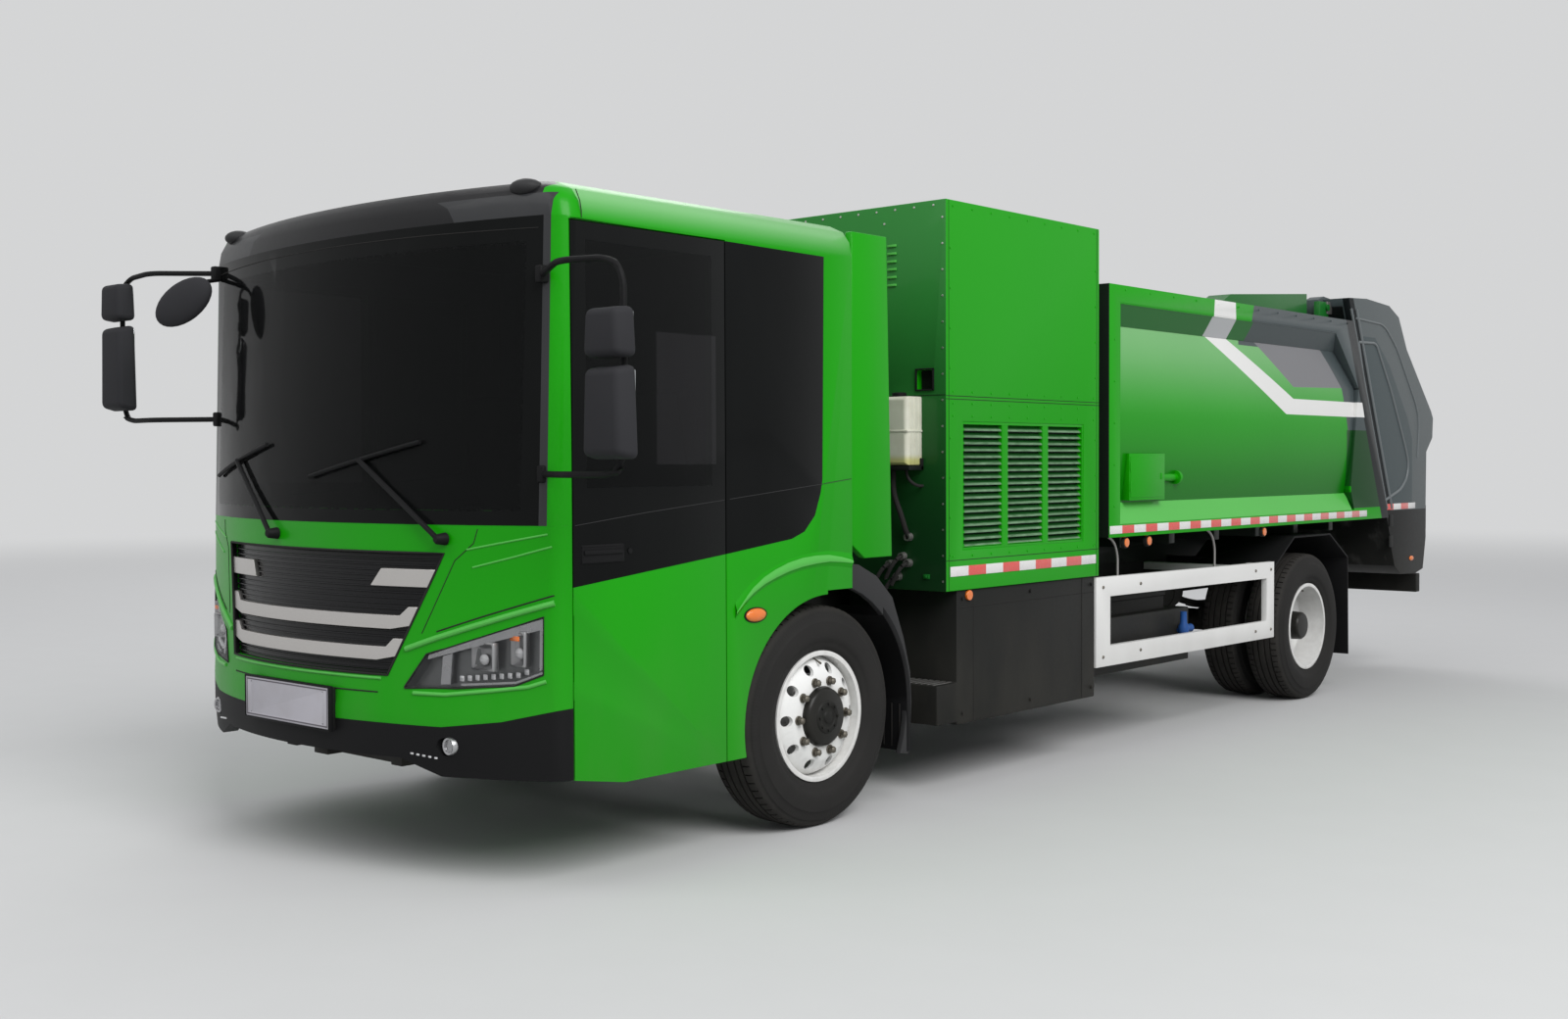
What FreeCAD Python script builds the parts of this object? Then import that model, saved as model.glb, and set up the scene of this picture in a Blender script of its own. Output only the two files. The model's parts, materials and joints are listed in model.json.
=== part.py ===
import FreeCAD, Part
import math
import os
from FreeCAD import Vector

# Rear loading garbage truck with a battery electric drive, empty and parked.
# The front faces -Y, the driver's side is +X and up is +Z.
# While the pieces are modelled, y is counted from the front axle and z from the road.
# save() then moves each piece so that the origin lies on the road under the middle of the truck.

# Driving dimensions of the vehicle
WHEELBASE = 5340
FRONT_OVERHANG = 2010
BODY_WIDTH = 2550
WALL = 60
DOOR_GAP = 6
RUNNING_CLEARANCE = 0.08

# Wheels and tyres
TYRE_DIAMETER = 1024
TYRE_WIDTH = 275
RIM_RADIUS = 292
RIM_WIDTH = 226
FLANGE_HEIGHT = 10
TWIN_SPACING = 325
TRACK = 2225
SPINDLE_RADIUS = 35
STUB_RADIUS = 45
AXLE_TUBE = 78
BOWL_RADIUS = 205
HUB_RADIUS = 138
HAND_HOLES = 10
HAND_HOLE_CIRCLE = 226
HAND_HOLE_RADIUS = 25

# Cab
CAB_REAR = 178
CAB_TOP = 2785
CAB_RAIL = 2640
CAB_BOTTOM = 402
CORNER_RADIUS = 90
CORNER_Y = -1600
LOW_FLOOR = 700
HIGH_FLOOR = 1125
RISER = -640
ARCH_RADIUS = 565
ARCH_FLAT = 1095
DOOR_FRONT = -1537
DOOR_REAR = -680
DOOR_TOP = 2620
SCREEN_BOTTOM = 1440
SCREEN_TOP = 2640
SCREEN_INSET = 85
GLASS = 10
NOSE_REAR = -1543
BUMPER_LIP = 515
HINGE_BARREL = 4.5
MIRROR_REACH = 535
MIRROR_Y = -1820
MIRROR_TUBE = 14
WIPER_PIVOT_Z = 1385
WIPER_TIP_Z = 1700
WIPER_BLADE = 330
PLATE_HOLE = 3.5
SEAT_X = 560
SEAT_TOP = 1420
SEAT_BASE = 1300
HELM = (560, -1270, 1400)
HELM_RADIUS = 215

# Chassis
RAIL_OUTER = 430
RAIL_WIDTH = 75
RAIL_DEPTH = 250
RAIL_TOP = 990
FRONT_RAIL_TOP = 680
RAIL_PLATE = 10
FRAME_FRONT = -1740
MEMBER_SPANS = 7
MEMBER_FIRST = 500
MEMBER_WIDTH = 80
LOW_MEMBERS = (-1150, -760)
SPRING_X = 480
SPRING_WIDTH = 75
SEAT_GAP = 0.3
TILT_Y = -1700
TILT_Z = 520
TILT_PIN = 25
UNDERRUN_INSET = 115
UNDERRUN_LOW = 610
TOW_Y = -1800
TOW_LOW = 450
TOW_HIGH = 560
TOW_HALF = 50
TOW_BORE = 20.5
KINGPIN_X = 960
KINGPIN = 20
BEAM_LOW = 440
BEAM_HIGH = 540
SPRING_SEAT = 556
TIE_ROD_Y = 275
TIE_ROD_Z = 360
TIE_ROD_X = 930
TIE_ROD_RADIUS = 18
MOTOR_RADIUS = 230
MOTOR_LENGTH = 650
MOTOR_Z = 720
SHAFT_RADIUS = 45
SKIRT_INSET = 13
SKIRT_INNER = 560
SKIRT_BOTTOM = 345
GUARD_INSET = 5
MUDGUARD_RADIUS = 634
MUDGUARD_SHEET = 30

# Power cabinet behind the cab
CABINET_FRONT = 923
CABINET_LENGTH = 1477
CABINET_BOTTOM = 1030
CABINET_TOP = 2990
CABINET_WALL = 40
LOUVRE_LOW = 1232
LOUVRE_HIGH = 1885
LOUVRE_SLATS = 18
LOUVRE_RIM = 14

# Refuse body
BODY_GAP = 113
BODY_BOTTOM = 1241
BODY_TOP = 2697
BODY_REAR_FROM_AXLE = 1353
FRAME_POST = 125
LEDGE = 75

# Tailgate, packer and bin lifter
SEAM_LOW_Z = 1241
SEAM_TOP_Z = 2846
SEAM_RUN = 762
TAIL_GAP = 8
TAIL_INSET = 25
TAIL_REACH = 1750
TAIL_OUTLINE = [(44, 2866), (373, 2882), (811, 2859), (1007, 2783), (1178, 2541), (1441, 2309), (1708, 2071),
                (TAIL_REACH, 2016), (1737, 1860), (1608, 1746)]
TAIL_EDGE = (1601, 1326)
TAIL_SILL = (1607, 1060)
TAIL_FLOOR = [(1547, 812), (1380, 780), (1080, 790), (880, 900), (862, 1086)]
PIVOT_Z = 2800
PIVOT_PIN = 25
PIVOT_INSET = 223
PIVOT_WIDTH = 104
CARRIAGE_LOW = 1900
CARRIAGE_HIGH = 2350
BLADE_PIN = 20
BLADE_EAR = 38
BLADE_LOW = 1320
LIFTER_Z = 1050
LIFTER_PIN = 12
LIFTER_ARM_X = 700

HALF = BODY_WIDTH / 2
SKIRT_X = HALF - SKIRT_INSET
GUARD_OUTER = HALF - GUARD_INSET
TAIL_HALF = HALF - TAIL_INSET
SCREEN_HALF = HALF - SCREEN_INSET
UNDERRUN_HALF = HALF - UNDERRUN_INSET
MIRROR_X = HALF + MIRROR_REACH
PIVOT_OUTER = HALF - PIVOT_INSET
PIVOT_INNER = PIVOT_OUTER - PIVOT_WIDTH
AXLE_Z = TYRE_DIAMETER / 2
REAR_AXLE = WHEELBASE
WHEEL_X = TRACK / 2
TWIN_X = WHEEL_X - TWIN_SPACING
CABINET_REAR = CABINET_FRONT + CABINET_LENGTH
BODY_FRONT = CABINET_REAR + BODY_GAP
SEAM_BOTTOM = REAR_AXLE + BODY_REAR_FROM_AXLE
TAIL_Y = SEAM_BOTTOM - SEAM_RUN
REAR_END = TAIL_Y + TAIL_REACH
ORIGIN_Y = (REAR_END - FRONT_OVERHANG) / 2
FRAME_REAR = SEAM_BOTTOM
UNDERRUN_Y = REAR_END - 100
AXLE_NOSE_Y = REAR_AXLE - 330
LOUVRE_FRONT = CABINET_FRONT + 141
LOUVRE_REAR = CABINET_REAR - 164
BARREL_FRONT = BODY_FRONT + 20
PIVOT_Y = SEAM_BOTTOM - (PIVOT_Z - SEAM_LOW_Z) * SEAM_RUN / (SEAM_TOP_Z - SEAM_LOW_Z) - 20
LIFTER_Y = TAIL_Y + 1640
LIFTER_PIN_Y = LIFTER_Y - 15
BLADE_Z = CARRIAGE_LOW - 60
CAB_LEVELS = [(CAB_BOTTOM, 0, -1975, -1590), (560, 0, -1998, CORNER_Y), (700, 0, -2000, CORNER_Y),
              (840, 0, -1978, CORNER_Y), (1330, 0, -1902, CORNER_Y), (SCREEN_BOTTOM, 0, -1890, CORNER_Y),
              (CAB_RAIL, 0, -1768, -1575), (2700, 14, -1762, -1570), (2750, 52, -1745, -1560),
              (CAB_TOP, 130, -1700, -1530)]
SIDE_GLASS = [(DOOR_FRONT, 1199), (-659, 1293), (-250, 1340), (-163, 1370), (-90, 1440), (-50, 1540),
              (-36, 1600), (-22, 2615), (DOOR_FRONT, 2630)]
GRILLE = [(-795, 1327), (-575, 840), (575, 840), (795, 1327)]
HEADLAMP = [(660, 792), (750, 930), (1210, 1089), (1214, 866), (1110, 819), (897, 803)]
NOSE_FAR = -2100
PLATE_BOX = (-313, 313, -FRONT_OVERHANG, -1975, 603, 775)


def block(x0, x1, y0, y1, z0, z1):
    corner = Vector(min(x0, x1), min(y0, y1), min(z0, z1))
    return Part.makeBox(abs(x1 - x0), abs(y1 - y0), abs(z1 - z0), corner)


def both(shape):
    return [shape, mirrored(shape)]


def mirrored(shape):
    return shape.mirror(Vector(0, 0, 0), Vector(1, 0, 0))


def fuse(shapes):
    shapes = list(shapes)
    if len(shapes) == 1:
        return shapes[0]
    return shapes[0].fuse(shapes[1:]).removeSplitter()


def group(shapes):
    return Part.makeCompound(list(shapes))


def plate(points, x0, x1):
    """A flat plate with an outline of (y, z) points, between two values of x."""
    loop = [Vector(x0, y, z) for y, z in points]
    face = Part.Face(Part.makePolygon(loop + [loop[0]]))
    return face.extrude(Vector(x1 - x0, 0, 0))


def front_plate(points, y0, y1):
    """A plate with an outline of (x, z) points, between two values of y."""
    loop = [Vector(x, y0, z) for x, z in points]
    face = Part.Face(Part.makePolygon(loop + [loop[0]]))
    return face.extrude(Vector(0, y1 - y0, 0))


def rod(start, end, radius):
    start, end = Vector(*start), Vector(*end)
    return Part.makeCylinder(radius, (end - start).Length, start, end - start)


def bent_rod(points, radius):
    """Straight round rods with a ball at each bend."""
    pieces = [rod(a, b, radius) for a, b in zip(points, points[1:])]
    pieces += [Part.makeSphere(radius, Vector(*p)) for p in points[1:-1]]
    return fuse(pieces)


def turned(points, centre):
    """A solid turned about the X direction, from (offset along x, radius) points."""
    loop = [Vector(centre[0] + x, centre[1], centre[2] + r) for x, r in points]
    face = Part.Face(Part.makePolygon(loop + [loop[0]]))
    return face.revolve(Vector(*centre), Vector(1, 0, 0), 360)


def save(name, shape):
    placed = shape.copy()
    placed.translate(Vector(0, -ORIGIN_Y, 0))
    placed.exportStep("parts/" + name + ".step")
    print(name, len(placed.Solids), placed.isValid(), round(placed.Volume / 1e6, 2))


# Wheels

def tyre(centre_x, axle_y):
    half = TYRE_WIDTH / 2
    bead = half * 0.73
    outer = TYRE_DIAMETER / 2
    right = [Vector(bead, 0, RIM_RADIUS), Vector(bead, 0, RIM_RADIUS + FLANGE_HEIGHT + 4)]
    wall_low, wall_mid, wall_top = right[1], Vector(half, 0, 400), Vector(half * 0.89, 0, 478)
    shoulder, tread = Vector(half * 0.82, 0, 500), Vector(half * 0.7, 0, outer - 4)
    edges = [Part.LineSegment(right[0], right[1]).toShape()]
    edges.append(Part.Arc(wall_low, wall_mid, wall_top).toShape())
    edges.append(Part.Arc(wall_top, shoulder, tread).toShape())
    left = Vector(-tread.x, 0, tread.z)
    edges.append(Part.Arc(tread, Vector(0, 0, outer), left).toShape())
    flip = [Vector(-p.x, 0, p.z) for p in (shoulder, wall_top, wall_mid, wall_low, right[0])]
    edges.append(Part.Arc(left, flip[0], flip[1]).toShape())
    edges.append(Part.Arc(flip[1], flip[2], flip[3]).toShape())
    edges.append(Part.LineSegment(flip[3], flip[4]).toShape())
    edges.append(Part.LineSegment(flip[4], right[0]).toShape())
    ring = Part.Face(Part.Wire(edges)).revolve(Vector(0, 0, 0), Vector(1, 0, 0), 360)
    ring.translate(Vector(centre_x, axle_y, AXLE_Z))
    return ring


def rim_barrel(centre):
    half, lip = RIM_WIDTH / 2, RIM_RADIUS + FLANGE_HEIGHT
    seat = TYRE_WIDTH / 2 * 0.73 + 0.5
    points = [(-half, RIM_RADIUS - 12), (half, RIM_RADIUS - 12), (half, lip), (seat, lip), (seat, RIM_RADIUS)]
    points += [(-seat, RIM_RADIUS), (-seat, lip), (-half, lip)]
    return turned(points, centre)


def hand_holes(disc, axle_y, x0, x1):
    holes = []
    for index in range(HAND_HOLES):
        angle = 2 * math.pi * index / HAND_HOLES
        y = axle_y + HAND_HOLE_CIRCLE * math.cos(angle)
        z = AXLE_Z + HAND_HOLE_CIRCLE * math.sin(angle)
        holes.append(rod((x0, y, z), (x1, y, z), HAND_HOLE_RADIUS))
    return disc.cut(holes)


def front_wheel():
    centre = (WHEEL_X, 0, AXLE_Z)
    inner = RIM_RADIUS - 11
    disc = turned([(24, inner), (38, inner), (86, 256), (124, 196), (124, 70), (108, 70), (108, 190),
                   (74, 246)],
                  centre)
    disc = hand_holes(disc, 0, WHEEL_X + 20, WHEEL_X + 140)
    bore = SPINDLE_RADIUS + RUNNING_CLEARANCE
    hub = turned([(-70, bore), (100, bore), (100, 0.001), (158, 0.001), (158, 116), (146, 132),
                  (124, HUB_RADIUS),
                  (108, HUB_RADIUS), (20, HUB_RADIUS), (20, 190), (-70, 190)], centre)
    return fuse([rim_barrel(centre), disc, hub])


def rear_wheels():
    outer, inner = (WHEEL_X, REAR_AXLE, AXLE_Z), (TWIN_X, REAR_AXLE, AXLE_Z)
    face = TWIN_SPACING / 2
    reach = RIM_RADIUS - 11
    dish = [(-60, reach), (-74, reach), (-110, 262), (-face, 200), (-face, 90), (-face + 14, 90),
            (-face + 14, 196),
            (-98, 252)]
    disc = hand_holes(turned(dish, outer), REAR_AXLE, WHEEL_X - 200, WHEEL_X - 60)
    twin_dish = [(60, reach), (74, reach), (110, 262), (face, 200), (face, 90), (face - 14, 90),
                 (face - 14, 196),
                 (98, 252)]
    twin_disc = hand_holes(turned(twin_dish, inner), REAR_AXLE, TWIN_X + 60, TWIN_X + 200)
    bore = STUB_RADIUS + RUNNING_CLEARANCE
    hub = turned([(-face - 90, bore), (10, bore), (10, 0.001), (80, 0.001), (80, 84), (66, 96),
                  (-face + 14, 108),
                  (-face + 14, 170), (-face - 14, 170), (-face - 90, 170)], outer)
    return fuse([rim_barrel(outer), rim_barrel(inner), disc, twin_disc, hub])


# Chassis

def frame_outline(inset, front, rear):
    top, bottom = RAIL_TOP - inset, RAIL_TOP - RAIL_DEPTH + inset
    low_top, low_bottom = FRONT_RAIL_TOP - inset, FRONT_RAIL_TOP - RAIL_DEPTH + inset
    step = RISER + 20
    return [(front, low_bottom), (step + 20, low_bottom), (step + 220, bottom), (rear, bottom), (rear, top),
            (step + 200, top), (step, low_top), (front, low_top)]


def member_y(index):
    """The front face of one of the cross members behind the front axle."""
    last = FRAME_REAR - MEMBER_WIDTH - 10
    return MEMBER_FIRST + (last - MEMBER_FIRST) * index / MEMBER_SPANS


def chassis_frame():
    outer = plate(frame_outline(0, FRAME_FRONT, FRAME_REAR), RAIL_OUTER - RAIL_WIDTH, RAIL_OUTER)
    hollow = plate(frame_outline(RAIL_PLATE, FRAME_FRONT - 1, FRAME_REAR + 1),
                   RAIL_OUTER - RAIL_WIDTH - 1, RAIL_OUTER - RAIL_PLATE)
    side = outer.cut(hollow)
    members = both(side)
    web = RAIL_OUTER - RAIL_PLATE
    members.append(block(-web, web, FRAME_FRONT, FRAME_FRONT + MEMBER_WIDTH, FRONT_RAIL_TOP - 240,
                         FRONT_RAIL_TOP - 10))
    for y in LOW_MEMBERS:
        members.append(block(-web, web, y, y + MEMBER_WIDTH, FRONT_RAIL_TOP - 200, FRONT_RAIL_TOP - 60))
    for index in range(MEMBER_SPANS + 1):
        y = member_y(index)
        members.append(block(-web, web, y, y + MEMBER_WIDTH, RAIL_TOP - 200, RAIL_TOP - 60))
    for s in (-1, 1):
        x0, x1 = s * (RAIL_OUTER - RAIL_WIDTH), s * RAIL_OUTER
        members.append(block(x0, x1, FRAME_REAR - 260, UNDERRUN_Y, 640, RAIL_TOP - RAIL_DEPTH))
        members.append(block(x0, x1, CAB_REAR - WALL - 105, CAB_REAR - WALL - 5, RAIL_TOP,
                             HIGH_FLOOR - SEAT_GAP))
        members.append(rod((s * web, TILT_Y, TILT_Z), (s * (RAIL_OUTER + 80), TILT_Y, TILT_Z), TILT_PIN))
    frame = fuse(members + [block(-TOW_HALF, TOW_HALF, TOW_Y - 45, FRAME_FRONT, TOW_LOW, TOW_HIGH)])
    slot = block(-TOW_HALF - 1, TOW_HALF + 1, TOW_Y - 46, TOW_Y + 35, TOW_LOW + 35, TOW_HIGH - 35)
    return frame.cut([slot, rod((0, TOW_Y, TOW_LOW - 1), (0, TOW_Y, TOW_HIGH + 1), TOW_BORE)])


def underrun_bar():
    return block(-UNDERRUN_HALF, UNDERRUN_HALF, UNDERRUN_Y, UNDERRUN_Y + 80, UNDERRUN_LOW, UNDERRUN_LOW + 150)


def front_axle():
    beam = block(-KINGPIN_X + 30, KINGPIN_X - 30, -45, 45, BEAM_LOW, BEAM_HIGH)
    eyes = [rod((s * KINGPIN_X, 0, BEAM_LOW), (s * KINGPIN_X, 0, BEAM_HIGH), 48) for s in (-1, 1)]
    pads = [block(s * SPRING_X - 50, s * SPRING_X + 50, -80, 80, BEAM_HIGH, SPRING_SEAT) for s in (-1, 1)]
    bores = [rod((s * KINGPIN_X, 0, BEAM_LOW - 40), (s * KINGPIN_X, 0, BEAM_HIGH + 40),
                 KINGPIN + RUNNING_CLEARANCE)
             for s in (-1, 1)]
    return fuse([beam] + eyes + pads).cut(bores)


def knuckle():
    """The left steering knuckle: a fork round the beam's eye, with its kingpin, spindle and steering arm."""
    x, low, high = KINGPIN_X, BEAM_LOW - 1, BEAM_HIGH + 1
    boss = fuse([rod((x, 0, high), (x, 0, 600), 46), rod((x, 0, 380), (x, 0, low), 46)])
    pin = rod((x, 0, 390), (x, 0, 590), KINGPIN)
    cheek = block(x + 50, x + 76, -60, 60, 380, 600)
    arms = [block(x, x + 76, -40, 40, high + 4, 600), block(x, x + 76, -40, 40, 380, low - 3)]
    spindle = rod((x + 70, 0, AXLE_Z), (WHEEL_X + 96, 0, AXLE_Z), SPINDLE_RADIUS)
    steering_arm = block(x - 55, x - 5, 0, TIE_ROD_Y + 25, 385, 415)
    return fuse([boss, pin, cheek, spindle, steering_arm] + arms)


def tie_rod():
    """The track rod with its two ball joints under the steering arms."""
    y, z, inner = TIE_ROD_Y, TIE_ROD_Z, TIE_ROD_X - 40
    tube = rod((-inner - 10, y, z), (inner + 10, y, z), TIE_ROD_RADIUS)
    ends = [rod((s * TIE_ROD_X, y, z - 18), (s * TIE_ROD_X, y, 385 - SEAT_GAP), 26) for s in (-1, 1)]
    links = [rod((s * inner, y, z), (s * TIE_ROD_X, y, z), TIE_ROD_RADIUS) for s in (-1, 1)]
    return fuse([tube] + ends + links)


def axle_nose():
    """The pinion housing, where the drive shaft ends."""
    return rod((0, REAR_AXLE, AXLE_Z), (0, AXLE_NOSE_Y, AXLE_Z + 20), 90)


def rear_axle():
    tube_end = TWIN_X - 60
    half_outline = [(0, BOWL_RADIUS), (40, BOWL_RADIUS), (90, BOWL_RADIUS - 15), (190, AXLE_TUBE),
                    (tube_end, AXLE_TUBE),
                    (tube_end, STUB_RADIUS), (WHEEL_X, STUB_RADIUS), (WHEEL_X, 0)]
    outline = [(-x, r) for x, r in reversed(half_outline[1:])] + half_outline
    housing = turned(outline, (0, REAR_AXLE, AXLE_Z))
    pads = [block(s * SPRING_X - 50, s * SPRING_X + 50, REAR_AXLE - 90, REAR_AXLE + 90, AXLE_Z, AXLE_Z + 92)
            for s in (-1, 1)]
    return fuse([housing, axle_nose()] + pads)


def leaf_spring(axle_y, seat_z, eye_z, span, inner_x):
    """A pack of leaves with its two brackets, which reach to the side member."""
    pieces = []
    for index in range(4):
        half = span / 2 - index * 130
        drop = index * 14
        ends_z = seat_z + 56 - drop + (eye_z - seat_z - 56) * (half / (span / 2)) ** 2
        mid_z = seat_z + 42 - drop + 14
        low = Part.Arc(Vector(0, -half, ends_z), Vector(0, 0, mid_z - 14), Vector(0, half, ends_z)).toShape()
        high = Part.Arc(Vector(0, half, ends_z + 14), Vector(0, 0, mid_z),
                        Vector(0, -half, ends_z + 14)).toShape()
        sides = [Part.LineSegment(Vector(0, half, ends_z), Vector(0, half, ends_z + 14)).toShape(),
                 Part.LineSegment(Vector(0, -half, ends_z + 14), Vector(0, -half, ends_z)).toShape()]
        face = Part.Face(Part.Wire([low, sides[0], high, sides[1]]))
        leaf = face.extrude(Vector(SPRING_WIDTH, 0, 0))
        leaf.translate(Vector(SPRING_X - SPRING_WIDTH / 2, axle_y, 0))
        pieces.append(leaf)
    for end in (-1, 1):
        y = axle_y + end * (span / 2 - 20)
        pieces.append(block(inner_x, SPRING_X + SPRING_WIDTH / 2, y - 30, y + 30, eye_z - 10, eye_z + 60))
    return fuse(pieces)


def leaf_springs():
    springs = []
    springs += both(leaf_spring(0, 556, 640, 1100, RAIL_OUTER))
    springs += both(leaf_spring(REAR_AXLE, AXLE_Z + 92, 760, 1400, RAIL_OUTER))
    return group(springs)


def drive_motor():
    front = member_y(3) + MEMBER_WIDTH + 60
    rear = front + MOTOR_LENGTH
    web = RAIL_OUTER - RAIL_PLATE
    motor = rod((0, front, MOTOR_Z), (0, rear, MOTOR_Z), MOTOR_RADIUS)
    hanger = block(-web, web, front + 280, front + 370, MOTOR_Z + 40, MOTOR_Z + 70)
    shaft = rod((0, rear, MOTOR_Z - 30), (0, AXLE_NOSE_Y, AXLE_Z + 20), SHAFT_RADIUS)
    return fuse([motor, shaft, hanger]).cut(axle_nose())


def skirt_box():
    rear = CABINET_REAR - 22
    low = SKIRT_BOTTOM
    body = block(SKIRT_INNER, SKIRT_X, CABINET_FRONT + 113, rear, low, CABINET_BOTTOM)
    tail = plate([(rear, low), (rear + 80, low + 85), (rear + 1320, low + 85), (rear + 1320, 760),
                  (rear, 760)],
                 SKIRT_INNER, SKIRT_X - 102)
    step = block(900, SKIRT_X, CABINET_FRONT - 60, CABINET_FRONT + 113, 360, 560)
    arms = [block(RAIL_OUTER, SKIRT_INNER, y, y + 80, 780, 900) for y in (1200, 2200)]
    return fuse([body, tail, step] + arms)


def cabinet():
    outer = block(-HALF, HALF, CABINET_FRONT, CABINET_REAR, CABINET_BOTTOM, CABINET_TOP)
    wall = CABINET_WALL
    room = block(-HALF + wall, HALF - wall, CABINET_FRONT + wall, CABINET_REAR - wall, CABINET_BOTTOM + wall,
                 CABINET_TOP - wall)
    cuts = [room]
    for s in (-1, 1):
        cuts.append(block(s * (HALF - wall - 1), s * (HALF + 1), LOUVRE_FRONT, LOUVRE_REAR, LOUVRE_LOW,
                          LOUVRE_HIGH))
    hole = block(1097, 1195, CABINET_FRONT - 1, CABINET_FRONT + wall + 1, 2047, 2144)
    bearers = [block(s * (RAIL_OUTER - RAIL_WIDTH), s * RAIL_OUTER, CABINET_FRONT + 40, CABINET_REAR - 40,
                     RAIL_TOP,
                     CABINET_BOTTOM) for s in (-1, 1)]
    return fuse([outer.cut(cuts + [hole])] + bearers)


def louvre():
    """One louvre panel: rim, two mullions and a row of slanted slats."""
    x0, x1 = HALF - 32, HALF - 4
    rim = block(x0, x1, LOUVRE_FRONT, LOUVRE_REAR, LOUVRE_LOW, LOUVRE_HIGH)
    rim = rim.cut(block(x0 - 1, x1 + 1, LOUVRE_FRONT + LOUVRE_RIM, LOUVRE_REAR - LOUVRE_RIM,
                         LOUVRE_LOW + LOUVRE_RIM, LOUVRE_HIGH - LOUVRE_RIM))
    pieces = [rim]
    length = LOUVRE_REAR - LOUVRE_FRONT
    for share in (1, 2):
        middle = LOUVRE_FRONT + length * share / 3
        pieces.append(block(x0, x1, middle - 28, middle + 28, LOUVRE_LOW, LOUVRE_HIGH))
    pitch = (LOUVRE_HIGH - LOUVRE_LOW - 2 * LOUVRE_RIM) / LOUVRE_SLATS
    for index in range(LOUVRE_SLATS):
        z = LOUVRE_LOW + LOUVRE_RIM + pitch * index
        slat = front_plate([(x0 + 2, z + pitch * 0.75), (x0 + 2, z + pitch * 0.92),
                            (x1 - 2, z + pitch * 0.25),
                            (x1 - 2, z + pitch * 0.08)], LOUVRE_FRONT + 5, LOUVRE_REAR - 5)
        pieces.append(slat)
    return fuse(pieces)


def traction_battery():
    half = HALF - 175
    return block(-half, half, CABINET_FRONT + 90, CABINET_REAR - 90, CABINET_BOTTOM + CABINET_WALL, 2300)


def expansion_tank():
    tank = block(935, 1128, CABINET_FRONT - 130, CABINET_FRONT, 1664, 2010)
    return tank.makeFillet(24, [e for e in tank.Edges if abs(e.BoundBox.YMax - CABINET_FRONT) > 1])


def front_mudguard():
    inner, outer = MUDGUARD_RADIUS - MUDGUARD_SHEET, MUDGUARD_RADIUS
    arc_wall = rod((1000, 0, AXLE_Z), (GUARD_OUTER, 0, AXLE_Z), outer)
    arc_wall = arc_wall.cut(rod((999, 0, AXLE_Z), (HALF, 0, AXLE_Z), inner))
    keep = block(999, HALF, 420, 700, AXLE_Z, 1000)
    arch = arc_wall.common(keep)
    flap = block(1000, GUARD_OUTER, inner, outer, 270, AXLE_Z)
    hanger_z = 800
    hanger_y = math.sqrt((outer + 14) ** 2 - (hanger_z - AXLE_Z) ** 2)
    hanger = rod((RAIL_OUTER, hanger_y, hanger_z), (1080, hanger_y, hanger_z), 18)
    return fuse([arch, flap, hanger])


def rear_mudguard():
    top = AXLE_Z + 645
    cover = plate([(REAR_AXLE - 300, top), (REAR_AXLE + 300, top), (REAR_AXLE + 620, top - 180),
                   (REAR_AXLE + 640, 260), (REAR_AXLE + 628, 260), (REAR_AXLE + 608, top - 188),
                   (REAR_AXLE + 296, top - 12), (REAR_AXLE - 296, top - 12), (REAR_AXLE - 608, top - 200),
                   (REAR_AXLE - 620, top - 192)], 640, HALF - 15)
    hangers = [block(RAIL_OUTER, 700, REAR_AXLE + s * 570, REAR_AXLE + s * 550, top - 230, top - 146)
               for s in (-1, 1)]
    return fuse([cover] + hangers)


def side_guard():
    outline = [(CABINET_REAR - 16, 505), (REAR_AXLE - 640, 490), (REAR_AXLE - 640, 1000),
               (CABINET_REAR - 16, 1018)]
    opening = [(CABINET_REAR + 142, 620), (REAR_AXLE - 750, 606), (REAR_AXLE - 750, 892),
               (CABINET_REAR + 142, 904)]
    frame = plate(outline, GUARD_OUTER - 40, GUARD_OUTER).cut(plate(opening, HALF - 60, HALF))
    arms = []
    for y in (CABINET_REAR + 470, REAR_AXLE - 900):
        arms.append(block(RAIL_OUTER, HALF - 45, y, y + 50, 930, 980))
        arms.append(block(HALF - 85, HALF - 45, y, y + 50, 930, 1000))
    return fuse([frame] + arms)


# Refuse body

def seam_y(z, offset=0):
    """The y of the slanted seam between body and tailgate, moved along its normal by offset."""
    rise = SEAM_TOP_Z - SEAM_LOW_Z
    slope = SEAM_RUN / rise
    return SEAM_BOTTOM - (z - SEAM_LOW_Z) * slope + offset * math.hypot(1, slope)


def rear_cutter(offset, z0=0, z1=4000):
    return plate([(seam_y(z0, offset), z0), (seam_y(z0, offset) + 6000, z0), (seam_y(z0, offset) + 6000, z1),
                  (seam_y(z1, offset), z1)], -2000, 2000)


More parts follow.
